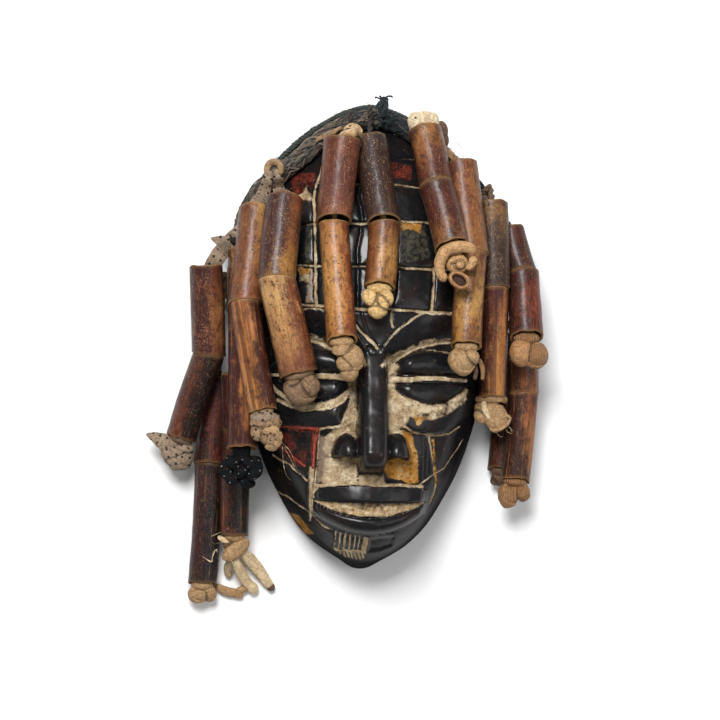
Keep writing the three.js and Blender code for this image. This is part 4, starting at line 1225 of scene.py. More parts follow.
# Each knot's radius along its strand, colour, surface (1 punched, 2 flecked, 3 ribbed) and folds.
# A fold is an oval lump: its middle to the right, crownwards and up from the knot's, its three
# radii and its turn in degrees. WRAPS are the turns of strap laid round a knot's fold: which fold,
# how far the turn leans, which way, and its width against the fold's radius.
KNOTS = {
    "left_1": (13, GREY, 1, [
        (2, -1.5, 0, 12.3, 10.6, 10, -8), (-4.5, 3.5, 3.5, 9, 6, 6, -25), (6.5, 4, 3.5, 7.5, 5.5, 5.5, 15),
    ]),
    "left_2": (7, LIGHT, 0, [(-2.0, -0.3, 0, 8.8, 6.6, 7.2, 0), (5.2, 0.4, -0.5, 6.2, 6.2, 6.6, 0)]),
    "left_3": (16, BLACK, 2, [
        (-7, 6, 1, 7, 6, 6, 20), (3, 8, 2.5, 7, 4.5, 6, -20), (10, 1, 1, 6, 6.5, 5, 10),
        (0, 0, 3, 8, 5, 6, 30), (4, -8, 0, 7, 4.5, 5, -15), (-7, -4, -1, 5.5, 7, 5, 0),
        (9, 8, -2, 6, 4, 5, 0),
    ]),
    "left_4": (9, LIGHT, 0, [(1.5, -0.8, 3.6, 12.6, 6.6, 5, 38), (0, 3, -1.5, 8.5, 6.5, 7, 0)]),
    "left_5": (14, DUN, 1, [
        (0, 6, 0, 11.5, 7.4, 9, 0), (3, -3, 2, 8.5, 8.5, 7, 20), (-5, 0, 1, 6.5, 8, 6, -15),
    ]),
    "left_6": (11, UMBER, 0, [
        (-1.5, -0.5, 0, 12.2, 10.8, 10.5, 0), (4, 2.5, 3.4, 8.8, 8.2, 8.2, -10),
        (-6, 4.5, 3, 6.5, 5, 6.5, 30),
    ]),
    "centre_1": (13, LIGHT, 0, [
        (0.5, 7, 0, 9, 6, 8, 0), (6.2, 1.6, 1.8, 8.6, 10.0, 8.0, -18), (4.6, -8.6, 0.5, 7.0, 6.4, 6.6, 0),
        (2.0, -2.8, 2.2, 8.0, 6.6, 6.8, -30),
    ]),
    "centre_2": (11, YELLOW, 0, [
        (0, 0, 0, 8.5, 8.5, 8, 0), (-6, 3.6, 2, 5.8, 6.6, 6, 20), (5.4, 4, 2, 6, 6.2, 6, -20),
        (-0.5, -5.4, 2.4, 7.6, 5.6, 6.6, 0), (2.4, 0.6, 5, 4.6, 6.4, 4.2, 35),
    ]),
    "right_1": (15, STRAW, 0, [(0, 3, -1, 9, 8, 6, 0), (1.5, 2, 3, 4.6, 4, 4, 20)]),
    "right_2": (10, LIGHT, 0, [(-2.4, -0.4, 0, 9.8, 10, 9.6, 0), (4, 3, 2.6, 6.6, 6, 6.6, -12)]),
    "right_3": (13.6, LIGHT, 0, [(-4, 3, -1, 9.5, 8, 7.5, -30), (-8, -1, 1, 5.5, 6.5, 5.5, 25)]),
    "right_4": (12, HUSK, 3, [(-5, 1, 0, 9, 10.6, 9.6, 0), (5.8, -0.6, 0, 10.2, 9.4, 9.4, 0)]),
    "right_5": (9.5, HUSK, 3, [(-4.6, -1.2, 0, 8.2, 9, 8, 0), (6.4, 1.6, 0, 6.2, 7.2, 7, 0)]),
    "right_6": (6, BROWN, 0, [(0, 0, 0, 7.5, 5.8, 6, 0), (-4, -2, 1, 4, 4, 4, 0)]),
}

WRAPS = {
    "left_1": [(0, 70, 30, 0.5)],
    "left_2": [(0, 80, 60, 0.5), (1, 60, -60, 0.5)],
    "left_5": [(0, 15, 0, 0.45), (1, 70, 40, 0.5)],
    "left_6": [(0, 62, 50, 0.5), (1, 75, -30, 0.42)],
    "centre_1": [(1, 58, 60, 0.46), (0, 12, 0, 0.5), (2, 70, 40, 0.5)],
    "centre_2": [(1, 60, 40, 0.5), (2, 50, -50, 0.5), (3, 74, 20, 0.5)],
    "right_2": [(0, 66, 60, 0.44), (1, 40, -20, 0.4)],
    "right_4": [(1, 82, 84, 0.34)],
    "right_5": [(0, 74, 50, 0.5), (1, 60, -40, 0.5)],
    "right_6": [(0, 70, 40, 0.5)],
    "left_3": [(0, 60, 30, 0.45), (4, 50, -30, 0.5)],
}

# Flaps, loops and tails: path from the knot's middle, half widths, flatness, colour and surface
LOOSE_PARTS = {
    "left_1": [
        ([(4, 6, 5), (-8, 9, 5), (-16, 12, 2), (-23, 14.5, 0)], (8, 7.4, 4.4, 0.7), 0.22, GREY, 1),
        ([(-11, -1, 7), (-2, 2, 10.6), (9, 5.5, 8)], (3, 4.4, 3), 0.3, GREY, 1),
    ],
    "left_3": [
        ([(7, 12, 3), (11, 3, 7), (5, -6, 8)], (3, 5, 4), 0.4, BLACK, 2),
        ([(-11, 9, 3), (-12, 0, 5), (-4, -9, 7)], (3, 5, 4), 0.4, BLACK, 2),
        ([(0, 8, 8), (7, 5, 8), (12, -5, 4)], (2.4, 3.6, 3), 0.4, BLACK, 2),
    ],
    "left_4": [
        ([(6, -2, 1), (13, -11, 0), (22, -21, 0), (30, -31, 0)], (3.4, 3.9, 4.2, 3.6), 0.9, PALE, 0),
        ([(28, -28, 1), (30, -31, 1), (31.5, -34.5, 0)], (3.4, 3.7, 2.8), 0.8, BROWN, 0),
        ([(8, -1, 3), (15, -8, 2), (23, -17, 1), (28, -24, 0)], (2.0, 2.4, 2.2, 1.6), 0.6, PALE, 0),
        ([(0, -7, 1), (4, -15, 1), (7, -21, 1), (11, -27, 1), (19, -35, 0)],
         (3.4, 4.0, 4.6, 4.2, 4.6), 0.85, PALE, 0),
        ([(-13, -30, 0), (-6, -34, 0), (2, -36, 0), (9, -38.5, 0)], (3.0, 3.6, 3.7, 3.0), 0.9, LIGHT, 0),
        ([(-1, -8, 0), (-4, -16, 0), (-3, -24, 0)], (3.0, 3.3, 2.6), 0.8, PALE, 0),
        ([(2, -36, 1), (8, -33, 1), (14, -30, 1)], (3.0, 3.4, 3.0), 0.9, LIGHT, 0),
        ([(-13, 9, 2), (-7, 6.5, 4), (-1, 8, 3)], (1.6, 3.2, 2.6), 0.6, PALE, 0),
    ],
    "left_5": [
        ([(-3, -1, 8), (5, 1, 9.5), (9.5, -5, 7), (6, -12, 4), (-1, -11, 5)],
         (2.6, 3.6, 3.4, 3.2, 2.4), 0.45, LIGHT, 1),
        ([(-12, 9, 1), (-2, 10.5, 9), (10, 9, 2)], (3.0, 4.2, 3.4), 0.35, GREY, 1),
    ],
    "right_1": [
        ([(12, 10.5, 0), (8.5, 14, 4), (-1, 14.5, 5.5), (-9, 11, 5.5), (-13, 3, 4.5), (-12, -5, 3.5),
          (-7.5, -10, 3)],
         (3.8, 4.4, 4.8, 4.7, 4.5, 4.2, 3.6), 0.9, STRAW, 0),
        ([(12, 9, 0), (10.5, 3, 2), (6.5, -2, 3)], (3.4, 3.4, 2.4), 0.8, STRAW, 0),
        ([(-6, 2, 3), (-1, 4, 5), (5, 3, 4)], (1.4, 2.0, 1.4), 0.8, TAN, 0),
    ],
    "right_2": [
        ([(7, 0, -2), (9, -7, -4), (8, -14, -5)], (2.0, 2.1, 1.8), 0.8, BROWN, 0),
        ([(10, 2, -2), (13.5, -5, -3), (14, -14, -5)], (2.0, 2.3, 1.6), 0.8, TAN, 0),
    ],
    "right_3": [
        ([(-12.5, 11.5, -1), (-4, 13, 7.5), (5, 13, 7.5), (12, 11.5, -1)], (2.8, 3, 3, 2.8), 0.5, LIGHT, 0),
        ([(-3, 10, 2), (0, 3, 3), (5, -4, 3), (9, -10, 3)], (8.6, 10, 9.8, 9.0), 0.55, LIGHT, 0),
        ([(-7, 11, 6), (-6, 4, 8), (-2, -3, 7.5)], (2.0, 2.8, 1.4), 0.6, PALE, 0),
    ],
    "right_5": [([(9, 9, 0), (12.5, 9, 0)], (1.3, 1.5), 1.0, BROWN, 0)],
}

# Loose threads from a knot's middle: path, radius and colour
THREADS = {
    "left_4": [
        ([(-18, 9, 7), (-11, 12.5, 10), (-3, 17, 13)], 0.26, PALE),
        ([(-18, 8, 7), (-16, 4, 7), (-10, 5, 9), (-5, 6, 9)], 0.26, PALE),
        ([(-24, -6, 5), (-17, -10, 6), (-16, -6, 7), (-14, -1, 8), (-12.4, -2.6, 8), (-13.4, -0.4, 9),
          (-11.8, -1, 8)], 0.38, CREAM),
        ([(-2, -8, 8), (0, -12, 7), (2, -15.5, 6)], 0.26, CREAM),
    ],
    "left_5": [
        ([(11, -7, 6), (16, -16, 4), (21.5, -26, 3)], 0.24, PALE),
        ([(12, -10, 6), (13, -22, 4), (15, -31, 3), (19, -36, 2)], 0.2, PALE),
        ([(11, -8, 6), (18, -15, 5), (23, -27, 3)], 0.2, PALE),
    ],
    "right_3": [
        ([(10, -7, 4), (14, -9, 5), (15, -12, 5), (12.5, -12.5, 5), (12, -10, 5)], 0.28, PALE),
        ([(9, -9, 4), (13, -13, 5), (16, -13, 5), (16, -10, 5)], 0.24, PALE),
        ([(4, -13, 3), (7, -16, 3), (10, -15.5, 4)], 0.24, LIGHT),
    ],
}


RIB_PITCH = 1.35 * MM


def leather_material(settings, name, shine):
    paint = Paint(name)
    place = paint.place()
    across, along, surface_kind = paint.split(paint.attribute("strap", "Vector"))
    crease_shade = paint.attribute("crease_shade")
    broad = paint.noise(place, 110, 3, 0.6)
    medium = paint.noise(place, 420, 4, 0.6)
    fine = paint.noise(place, 2300, 3, 0.6)
    grain = paint.cells(place, 1300, "DISTANCE_TO_EDGE")
    fold = paint.noise(place, 170, 2, 0.5, 1.2)
    fold = 1 - paint.spread(fold.apply("ABSOLUTE", fold - 0.5), 0.0, 0.045)
    tone = paint.attribute("tone", "Color")
    colour = paint.shade(tone, 0.5 + broad * 0.6 + medium * 0.5)
    # Painted highlights: spots in a lighter copy of the leather's own tone
    colour = paint.mix(paint.spread(fine + (medium - 0.5), 0.5, 0.7) * 0.35, colour, paint.shade(tone, 1.7))
    warm = paint.mix(1.0, tone, tint("a9743f"), "MULTIPLY")
    colour = paint.mix(paint.spread(broad, 0.5, 0.72) * 0.4, colour, warm)
    colour = paint.over(colour, "3c281a", 0.32, medium + (fine - 0.5) * 0.6, 0.6, 0.72)
    # Painted shade along thin fold lines
    colour = paint.mix(fold * 0.3, colour, tint("3a2414"))
    # Painted shade in the creases and in the seams between a knot's folds
    colour = paint.over(colour, "2a1b10", 0.72, crease_shade + (medium - 0.5) * 0.7, 0.3, 1.0)
    pitch = settings.hole_pitch
    lean = across + (medium - 0.5) * 0.002
    place_along = along.apply("PINGPONG", along, pitch / 2)
    place_across = lean.apply("PINGPONG", lean + pitch * 0.5, pitch / 2)
    apart = (place_along * place_along + place_across * place_across) ** 0.5
    radius = settings.hole_radius
    kinds = (surface_kind.apply("COMPARE", surface_kind, kind, 0.3) for kind in (1.0, 2.0, 3.0))
    punched, flecked, ribbed = kinds
    # Punched holes are painted near black as the shade inside them
    shaded_hole = (1 - paint.spread(apart, radius * 0.7, radius * 1.1)) * punched
    colour = paint.mix(shaded_hole * 0.95, colour, tint("15100c"))
    speck = (1 - paint.spread(apart, radius * 0.25, radius * 0.6)) * flecked
    colour = paint.mix(speck * 0.8, colour, tint("8f9090"))
    ribs = across.apply("SINE", across * (2 * math.pi / RIB_PITCH)) * ribbed
    # Painted shade in the grooves between the ribs
    colour = paint.over(colour, "33200f", 0.5, 0 - ribs, 0.1, 0.9)
    height = medium * 0.6 + fine * 0.25 + paint.spread(grain, 0.0, 0.2) * 0.12 - shaded_hole * 2.0 + ribs * 0.6
    return paint.finish(colour, 0.5 + medium * 0.3, height - fold * 0.6, 0.7 * MM, strength=0.9, shine=shine)


ROLL_CURVE = curve_through(ROLL_PATH, 241)


def seat(x, y, radius):
    """Lowest height at which a ball clears the mask and the roll."""
    height = rest_height(x, y, radius)
    apart = np.hypot(ROLL_CURVE[:, 0] - x, ROLL_CURVE[:, 1] - y)
    near = apart < ROLL_RADIUS + radius
    if near.any():
        over = ROLL_CURVE[near, 2] + np.sqrt((ROLL_RADIUS + radius) ** 2 - apart[near] ** 2)
        height = max(height, over.max())
    return height


def laid(points, radius):
    """Places in the plan, laid on the mask and the roll."""
    return [local(x, y, seat(x, y, radius)) for x, y in points]


def head_path(strand, anchor):
    """A thong's way over the roll and down to the upper tube's mouth, in the mask's millimetres."""
    near = ROLL_CURVE[np.argmin(np.hypot(ROLL_CURVE[:, 0] - anchor[0], ROLL_CURVE[:, 1] - anchor[1]))]
    outward = unit(np.array([near[0], near[1] - CROWN_MIDDLE, 0]))
    top = (strand.top - np.array(SHIFT)) / MM
    hangs_out = (top - near) @ outward > 0
    turns = (125, 95, 65, 35) if hangs_out else (45, 75, 105)
    if strand.name == "left_4":
        turns = (66, 90, 115)
    points = []
    for angle in np.radians(turns):
        ray = outward * math.cos(angle) + np.array([0, 0, math.sin(angle)])
        points.append(near + ray * (ROLL_RADIUS + HEAD_HEIGHT))
    mouth = top + strand.back * 1.0
    last = points[-1]
    steps = int(np.linalg.norm(mouth - last) // 12)
    for i in range(1, steps + 1):
        point = last + (mouth - last) * i / (steps + 1)
        point[2] = max(point[2], rest_height(point[0], point[1], HEAD_HEIGHT))
        points.append(point)
    points += [mouth, top - strand.back * 10]
    return np.array(points), np.array([-outward[1], outward[0], 0])


def in_frame(points):
    return np.array([local(*p) for p in points])


def band(strip, centre, axes, radii, lean, turn, width, tone, surface_kind, seed):
    """A closed strap wound once round a lump, on an axle that leans from the strand's line."""
    random = np.random.RandomState(seed)
    lean, turn = math.radians(lean), math.radians(turn)
    axle = np.array([math.sin(lean) * math.cos(turn), math.cos(lean), math.sin(lean) * math.sin(turn)])
    first = unit(np.cross(axle, (0.31, 0.2, 0.93)))
    second = np.cross(axle, first)
    angle = np.linspace(0, 2 * math.pi, 56, endpoint=False)
    wave = 1 + 0.05 * np.sin(2 * angle + random.uniform(0, 6))
    drift = 0.16 * np.sin(angle + random.uniform(0, 6)) + 0.08 * np.sin(2 * angle + random.uniform(0, 6))
    ring = np.outer(np.cos(angle) * wave, first) + np.outer(np.sin(angle) * wave, second)
    ring += np.outer(drift, axle)
    path = np.array(centre) + (ring * radii * 0.78) @ np.array(axes)
    normals = (ring / radii) @ np.array(axes)
    normals /= np.linalg.norm(normals, axis=1, keepdims=True)
    size = width * min(radii) * (1 + 0.2 * np.sin(2 * angle + random.uniform(0, 6)))
    strip.sweep(path, normals, size, 0.25 * min(radii), tone, 16, True, surface_kind, 2.6)


def rope(strip, points, radius, tone, flat=1.0, count=None, around=12, surface_kind=0, first=(0.1, 0.2, 1)):
    """An open strip of leather or thread through points in metres."""
    points = np.array(points)
    length = np.linalg.norm(np.diff(points, axis=0), axis=1).sum()
    count = count or max(8, int(length / (0.8 * MM)))
    path = curve_through(points, count)
    sizes = np.atleast_1d(np.array(radius, dtype=float))
    radius = np.interp(np.linspace(0, 1, count), np.linspace(0, 1, len(sizes)), sizes)
    strip.sweep(path, carried(path, first), radius, radius * flat, tone, around, False, surface_kind)


def plan_axes(turn):
    c, s = math.cos(math.radians(turn)), math.sin(math.radians(turn))
    return ((c, s, 0), (-s, c, 0), (0, 0, 1))


def lump(strip, centre, radii, turn, tone, surface_kind=0):
    """An oval lump with its middle in metres and its radii in millimetres."""
    strip.ball(centre, plan_axes(turn), np.array(radii) * MM, tone, surface_kind)


def from_knot(centre, offset):
    """A place given from a knot's middle: right, towards the crown and up, in millimetres."""
    return np.array(centre) + np.array(offset) * MM


def add_knot(strip, strand):
    """The knot that ends a strand, with its folds, flaps, tails and threads."""
    along, tone, surface_kind, folds = KNOTS[strand.name]
    centre = strand.end + strand.away * (along + 0.8) * MM
    for dx, dy, dz, rx, ry, rz, turn in folds:
        kind = 0 if strand.name == "right_4" and dx < 0 else surface_kind
        lump(strip, from_knot(centre, (dx, dy, dz)), (rx, ry, rz), turn, tone, kind)
    for k, (fold, lean, way, width) in enumerate(WRAPS.get(strand.name, [])):
        dx, dy, dz, rx, ry, rz, turn = folds[fold]
        middle, radii = from_knot(centre, (dx, dy, dz)), np.array((rx, ry, rz)) * 1.06 * MM
        band(strip, middle, plan_axes(turn), radii, lean, way, width, tone, surface_kind, 40 + k)
    neck = [strand.end - strand.away * 12 * MM, strand.end, centre]
    rope(strip, neck, [5 * MM, 7 * MM, 5 * MM], tone, 0.75)
    for points, sizes, flat, shade, kind in LOOSE_PARTS.get(strand.name, []):
        placed = [from_knot(centre, point) for point in points]
        if strand.name == "left_4":
            # The loose ends sink to the floor.
            for i, point in enumerate(placed):
                floor = (max(sizes) * flat + 0.4) * MM
                sink = min(1.0, 1.15 * i / (len(placed) - 1)) if points[0][1] > -20 else 1.0
                point[2] = max(floor, point[2] - sink * (centre[2] - floor) * (points[i][1] < 0))
        rope(strip, placed, np.array(sizes) * MM, shade, flat, None, 14, kind, (0.1, 0.1, 1))
    for points, radius, shade in THREADS.get(strand.name, []):
        rope(strip, [from_knot(centre, point) for point in points], radius * MM, shade, count=40, around=5)
    if strand.name == "right_1":
        rolled_end(strip, centre, (1.0, -9.5, 6.5), (7.0, 4.7), -28, (1.8, 3.6), HUSK)
    if strand.name == "right_3":
        rolled_end(strip, centre, (6.6, -6, 3.4), (8.2, 3.8), 32, (1.7, 3.0), LIGHT)


def rolled_end(strip, centre, middle, radii, turn, wall, tone):
    """The open end of leather that is rolled into a tube: a thick rim round a hollow, with a dark lump of
    painted shade at its bottom.
    """
    angle = np.linspace(0, 2 * math.pi, 48, endpoint=False)
    c, s = math.cos(math.radians(turn)), math.sin(math.radians(turn))
    right, above = radii[0] * np.cos(angle), radii[1] * np.sin(angle)
    shape = np.column_stack([right * c - above * s, right * s + above * c, 0.8 * np.sin(2 * angle)])
    path = np.array(centre) + (shape + middle) * MM
    strip.sweep(path, np.tile((0, 0, 1.0), (48, 1)), wall[0] * MM, wall[1] * MM, tone, around=12, closed=True)
    deep = from_knot(centre, np.array(middle) - (0, 0, 3.5))
    # A dark lump of painted shade deep in the hollow
    lump(strip, deep, (radii[0], radii[1], 2.0), turn, tint("3a2416"))


def add_head(strip, strand):
    """The upper end of a thong: over the roll and into its upper tube."""
    anchor, thick, tone = HEADS[strand.name]
    points, along = head_path(strand, anchor)
    path = curve_through(in_frame(points), max(24, int(len(points) * 9)))
    base = carried(path, along)
    other = np.cross(directions(path), base)
    for k in range(2):
        # Two strands twisted together make a thong.
        run = np.arange(len(path)) * 0.42 + k * math.pi
        twist = path + (base * np.cos(run)[:, None] + other * np.sin(run)[:, None]) * 0.5 * thick * MM
        strip.sweep(twist, base, 0.72 * HEAD_WIDTH * MM, 0.72 * thick * MM, tone, around=8)


def add_crown_leather(strip, strand):
    """The folds, knots and straps of leather that show above some of the tubes."""
    name, top = strand.name, strand.top
    height = top[2] / MM
    mouth = [top + strand.back * 3 * MM, top - strand.back * 8 * MM]

    def strap(points, sizes, flat, around):
        rope(strip, points, np.array(sizes) * MM, GREY, flat, None, around, 1, (0, 0, 1))

    if name == "centre_1":
        knot = local(-17.2, 169.7, seat(-17.2, 169.7, 6) + 3.5)
        neck = [top - strand.back * 6 * MM, mouth[0], local(-20.4, 165.5, 88), knot]
        rope(strip, neck, np.array([3.4, 3.4, 4.0, 4.8]) * MM, OAT, 0.9)
        lump(strip, knot, (6.2, 6.0, 5.6), 0, OAT)
        radii = np.array([7.6, 7.6, 7.2]) * MM
        for k, (lean, way) in enumerate(((62, 70), (25, 20))):
            band(strip, knot, plan_axes(0), radii, lean, way, 0.42, OAT, 0, 200 + k)
        end = laid([(-21, 172.5), (-25, 172.4), (-30, 171.2)], 2.0)
        rope(strip, end, np.array([2.0, 1.7, 1.3]) * MM, TAN, 0.8)
        end = laid([(-13, 170), (-8, 169), (-3, 168.4), (0, 168)], 1.8)
        rope(strip, end, np.array([1.8, 1.6, 1.0]) * MM, TAN, 0.8)
    elif name == "right_1":
        for x, y, rise, radii, turn in (
            (33.6, 173.0, 1, (10.8, 11.6, 9.8), 0), (27.6, 176.4, 4.2, (6.2, 8.2, 6.4), 14),
            (39.6, 177.0, 3.2, (5.6, 8.4, 6.6), -10), (34.6, 181.6, 1.5, (8.6, 4.2, 5.6), 4),
        ):
            lump(strip, local(x, y, height + rise), radii, turn, CREAM)
        lump(strip, local(26.8, 179.2, height + 9.6), (1.1, 1.3, 0.8), 0, tint("1d1712"))
    elif name == "right_2":
        knob = seat(47.4, 172, 5)
        lump(strip, local(49.6, 174.5, knob), (5.6, 7.6, 5.2), 6, BROWN)
        lump(strip, local(50.8, 167.5, knob - 1), (5.0, 7.4, 4.8), 10, BROWN)
        hanger = [local(50, 163, knob - 1), local(54.5, 155.5, height + 1), local(60, 149.5, height)]
        rope(strip, hanger + [top - strand.back * 6 * MM], np.array([3.6, 3.4, 4.0, 4.0]) * MM, TAN, 0.35)
        curl = [(52.5, 162.7), (57.5, 162.6), (61.5, 159.5), (63.4, 156.6), (62.6, 154.2)]
        curl += [(64.4, 151.8), (65.2, 148.6)]
        curl = [local(x, y, 78 - 0.8 * k) for k, (x, y) in enumerate(curl)]
        rope(strip, curl, 0.34 * MM, BROWN, count=60, around=5)
        curl = [local(x, y, 76) for x, y in ((52, 171.4), (55, 171), (58, 168), (57.6, 164.6), (55.6, 163.6))]
        rope(strip, curl, 0.2 * MM, LIGHT, count=40, around=5)
    elif name == "right_3":
        for x, y, radii, turn in (
            (78.5, 124.8, (5, 3.6, 3.6), 20), (83.6, 124.6, (4.6, 3.2, 3.4), -30),
            (86.4, 121.5, (2.6, 3.4, 2.6), 0),
        ):
            lump(strip, local(x, y, seat(x, y, 3) + 1), radii, turn, tint("75634c"))
    elif name == "left_1":
        over = laid([(-97, 99), (-101, 92), (-107, 85)], 2.6)
        strap([*over, local(-114, 76, height + 4), mouth[1]], (4.0, 6.0, 7.0, 6.4, 6.0), 0.18, 22)
        low = over[2][2] / MM
        ear = [(-103, 84, low), (-109, 85.5, low + 1), (-115, 87.5, low), (-121, 89, low - 2)]
        strap(in_frame(ear), (5.0, 5.6, 4.0, 0.6), 0.18, 18)
    elif name == "left_5":
        ring = [(-79.5, 134), (-80.4, 140), (-78, 145.5), (-73, 146), (-70, 141.5), (-70.5, 136)]
        low = seat(*ring[0], 2.2) - 5
        loop = [local(x, y, max(seat(x, y, 2.2), low)) for x, y in ring]
        rope(strip, loop, np.array([2.5, 2.9, 3.0, 3.0, 2.9, 2.5]) * MM, DUN, 0.9)
        over = laid([(-78.4, 140), (-80, 133), (-82.4, 123)], 2.6)
        strap(over + mouth, (2.8, 4.0, 5.0, 5.4, 5.4), 0.2, 20)
    elif name == "left_6":
        over = laid([(-72.6, 141), (-72, 134), (-70.8, 126)], 2.6)
        strap(over + mouth, (2.8, 4.0, 4.8, 5.2, 5.2), 0.2, 20)


def seam_shade(strands, points):
    """Painted shade for the seams where a knot's folds meet: 1 in the seams and 0 away from them."""
    deep = np.zeros(len(points))
    for strand in strands:
        along, _, _, folds = KNOTS[strand.name]
        centre = strand.end + strand.away * (along + 0.8) * MM
        levels = []
        for dx, dy, dz, rx, ry, rz, turn in folds:
            off = (points - from_knot(centre, (dx, dy, dz))) @ np.array(plan_axes(turn)).T
            far = np.linalg.norm(off / (np.array((rx, ry, rz)) * MM), axis=1)
            levels.append((far - 1) * min(rx, ry, rz) * MM)
        if len(levels) > 1:
            close = np.sort(levels, axis=0)[1]
            deep = np.maximum(deep, np.exp(-((close / (0.75 * MM)) ** 2)))
    return deep


def make_thong(strands, node, material, settings, seed):
    """All the leather of one thong node, as one piece."""
    strip = Strip()
    for strand in strands:
        if strand.name in HEADS:
            add_head(strip, strand)
        add_crown_leather(strip, strand)
        _, tone, surface_kind, _ = KNOTS[strand.name]
        core = [strand.top, strand.top - strand.back * 12 * MM, strand.joint]
        core += [strand.joint + strand.away * 12 * MM, strand.end]
        rope(strip, core, 2.6 * MM, tone, 0.8, around=6)
        if strand.name != "left_3":
            # The leather fills the mouth that the knot is drawn up against.
            bore = 0.97 * strand.lower.radius / MM - 2
            lean = math.degrees(math.atan2(-strand.away[0], strand.away[1]))
            mouth = strand.end + strand.away * 0.5 * MM
            lump(strip, mouth, (bore, 5.5, bore), lean, tone, surface_kind)
        add_knot(strip, strand)
    bmesh.ops.remove_doubles(strip.bm, verts=strip.bm.verts, dist=1e-6)
    bmesh.ops.recalc_face_normals(strip.bm, faces=strip.bm.faces)
    strip.wrinkle(2.2 * settings.wrinkle, 62, seed * 2.9)
    amount = strip.wrinkle(settings.wrinkle, 300, seed * 1.7)
    # Painted shade: darker where the wrinkles sink in and in the seams between a knot's folds
    crease_shade = np.maximum(0.45 * np.clip(-amount / settings.wrinkle, 0, 1), seam_shade(strands, as_points(strip.bm)))
    made = finished(strip.bm, node.replace("_thong", "_leather"), material, {"crease_shade": crease_shade}, merge=0)
    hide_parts(node)
    return made


class OBJECT_OT_leather_thongs(bpy.types.Operator):
    """Make the leather thongs with their knots, flaps and tails"""

    bl_idname = "object.leather_thongs"
    bl_label = "Leather thongs"

    def execute(self, context):
        settings = context.scene.leather_settings
        pale = leather_material(settings, "pale_leather", 0.4)
        black = leather_material(settings, "black_leather", 0.06)
        for number, name in enumerate(STRANDS):
            if name == "left_6":
                continue
            names = ["left_5", "left_6"] if name == "left_5" else [name]
            material = black if name == "left_3" else pale
            made = make_thong([Strand(n) for n in names], f"{name}_thong", material, settings, number + 1)
        return {"FINISHED"}


# Fibre roll, cords and threads


DARK_THREADS = [tint(c) for c in ("17262a", "1d2022", "263236", "10181b")]
# The edge cord's plies, the length in which they turn once, and the hairs that stand off it
CORD_PLIES, CORD_TURN, CORD_HAIRS = 3, 9 * MM, 420
LIGHT_STRANDS = 9
TUFT_LOOPS, TUFT_ENDS = 34, 16


def fibre_material(name, roughness):
    """Matted fibre or thread, coloured by its own tone."""
    paint = Paint(name)
    place = paint.place()
    medium = paint.noise(place, 420, 4, 0.65)
    fine = paint.noise(place, 2200, 3, 0.6)
    colour = paint.shade(paint.attribute("tone", "Color"), 0.45 + medium * 1.15)
    colour = paint.over(colour, "8a7f70", 0.4, fine, 0.62, 0.75)
    height = medium * 0.8 + fine * 0.6
    return paint.finish(colour, roughness + medium * 0.1, height, 0.0009, strength=0.9)


def on_roll(path, along, frames, place, turn, radius):
    """Points on the outside of a binding, from places along it and turns round it."""
    k = np.clip(place * (len(path) - 1), 0, len(path) - 1)
    i = np.minimum(k.astype(int), len(path) - 2)
    f = (k - i)[:, None]
    centre = path[i] * (1 - f) + path[i + 1] * f
    first = frames[i] * (1 - f) + frames[i + 1] * f
    second = np.cross(along[i], first)
    return centre + (first * np.cos(turn)[:, None] + second * np.sin(turn)[:, None]) * radius[:, None]


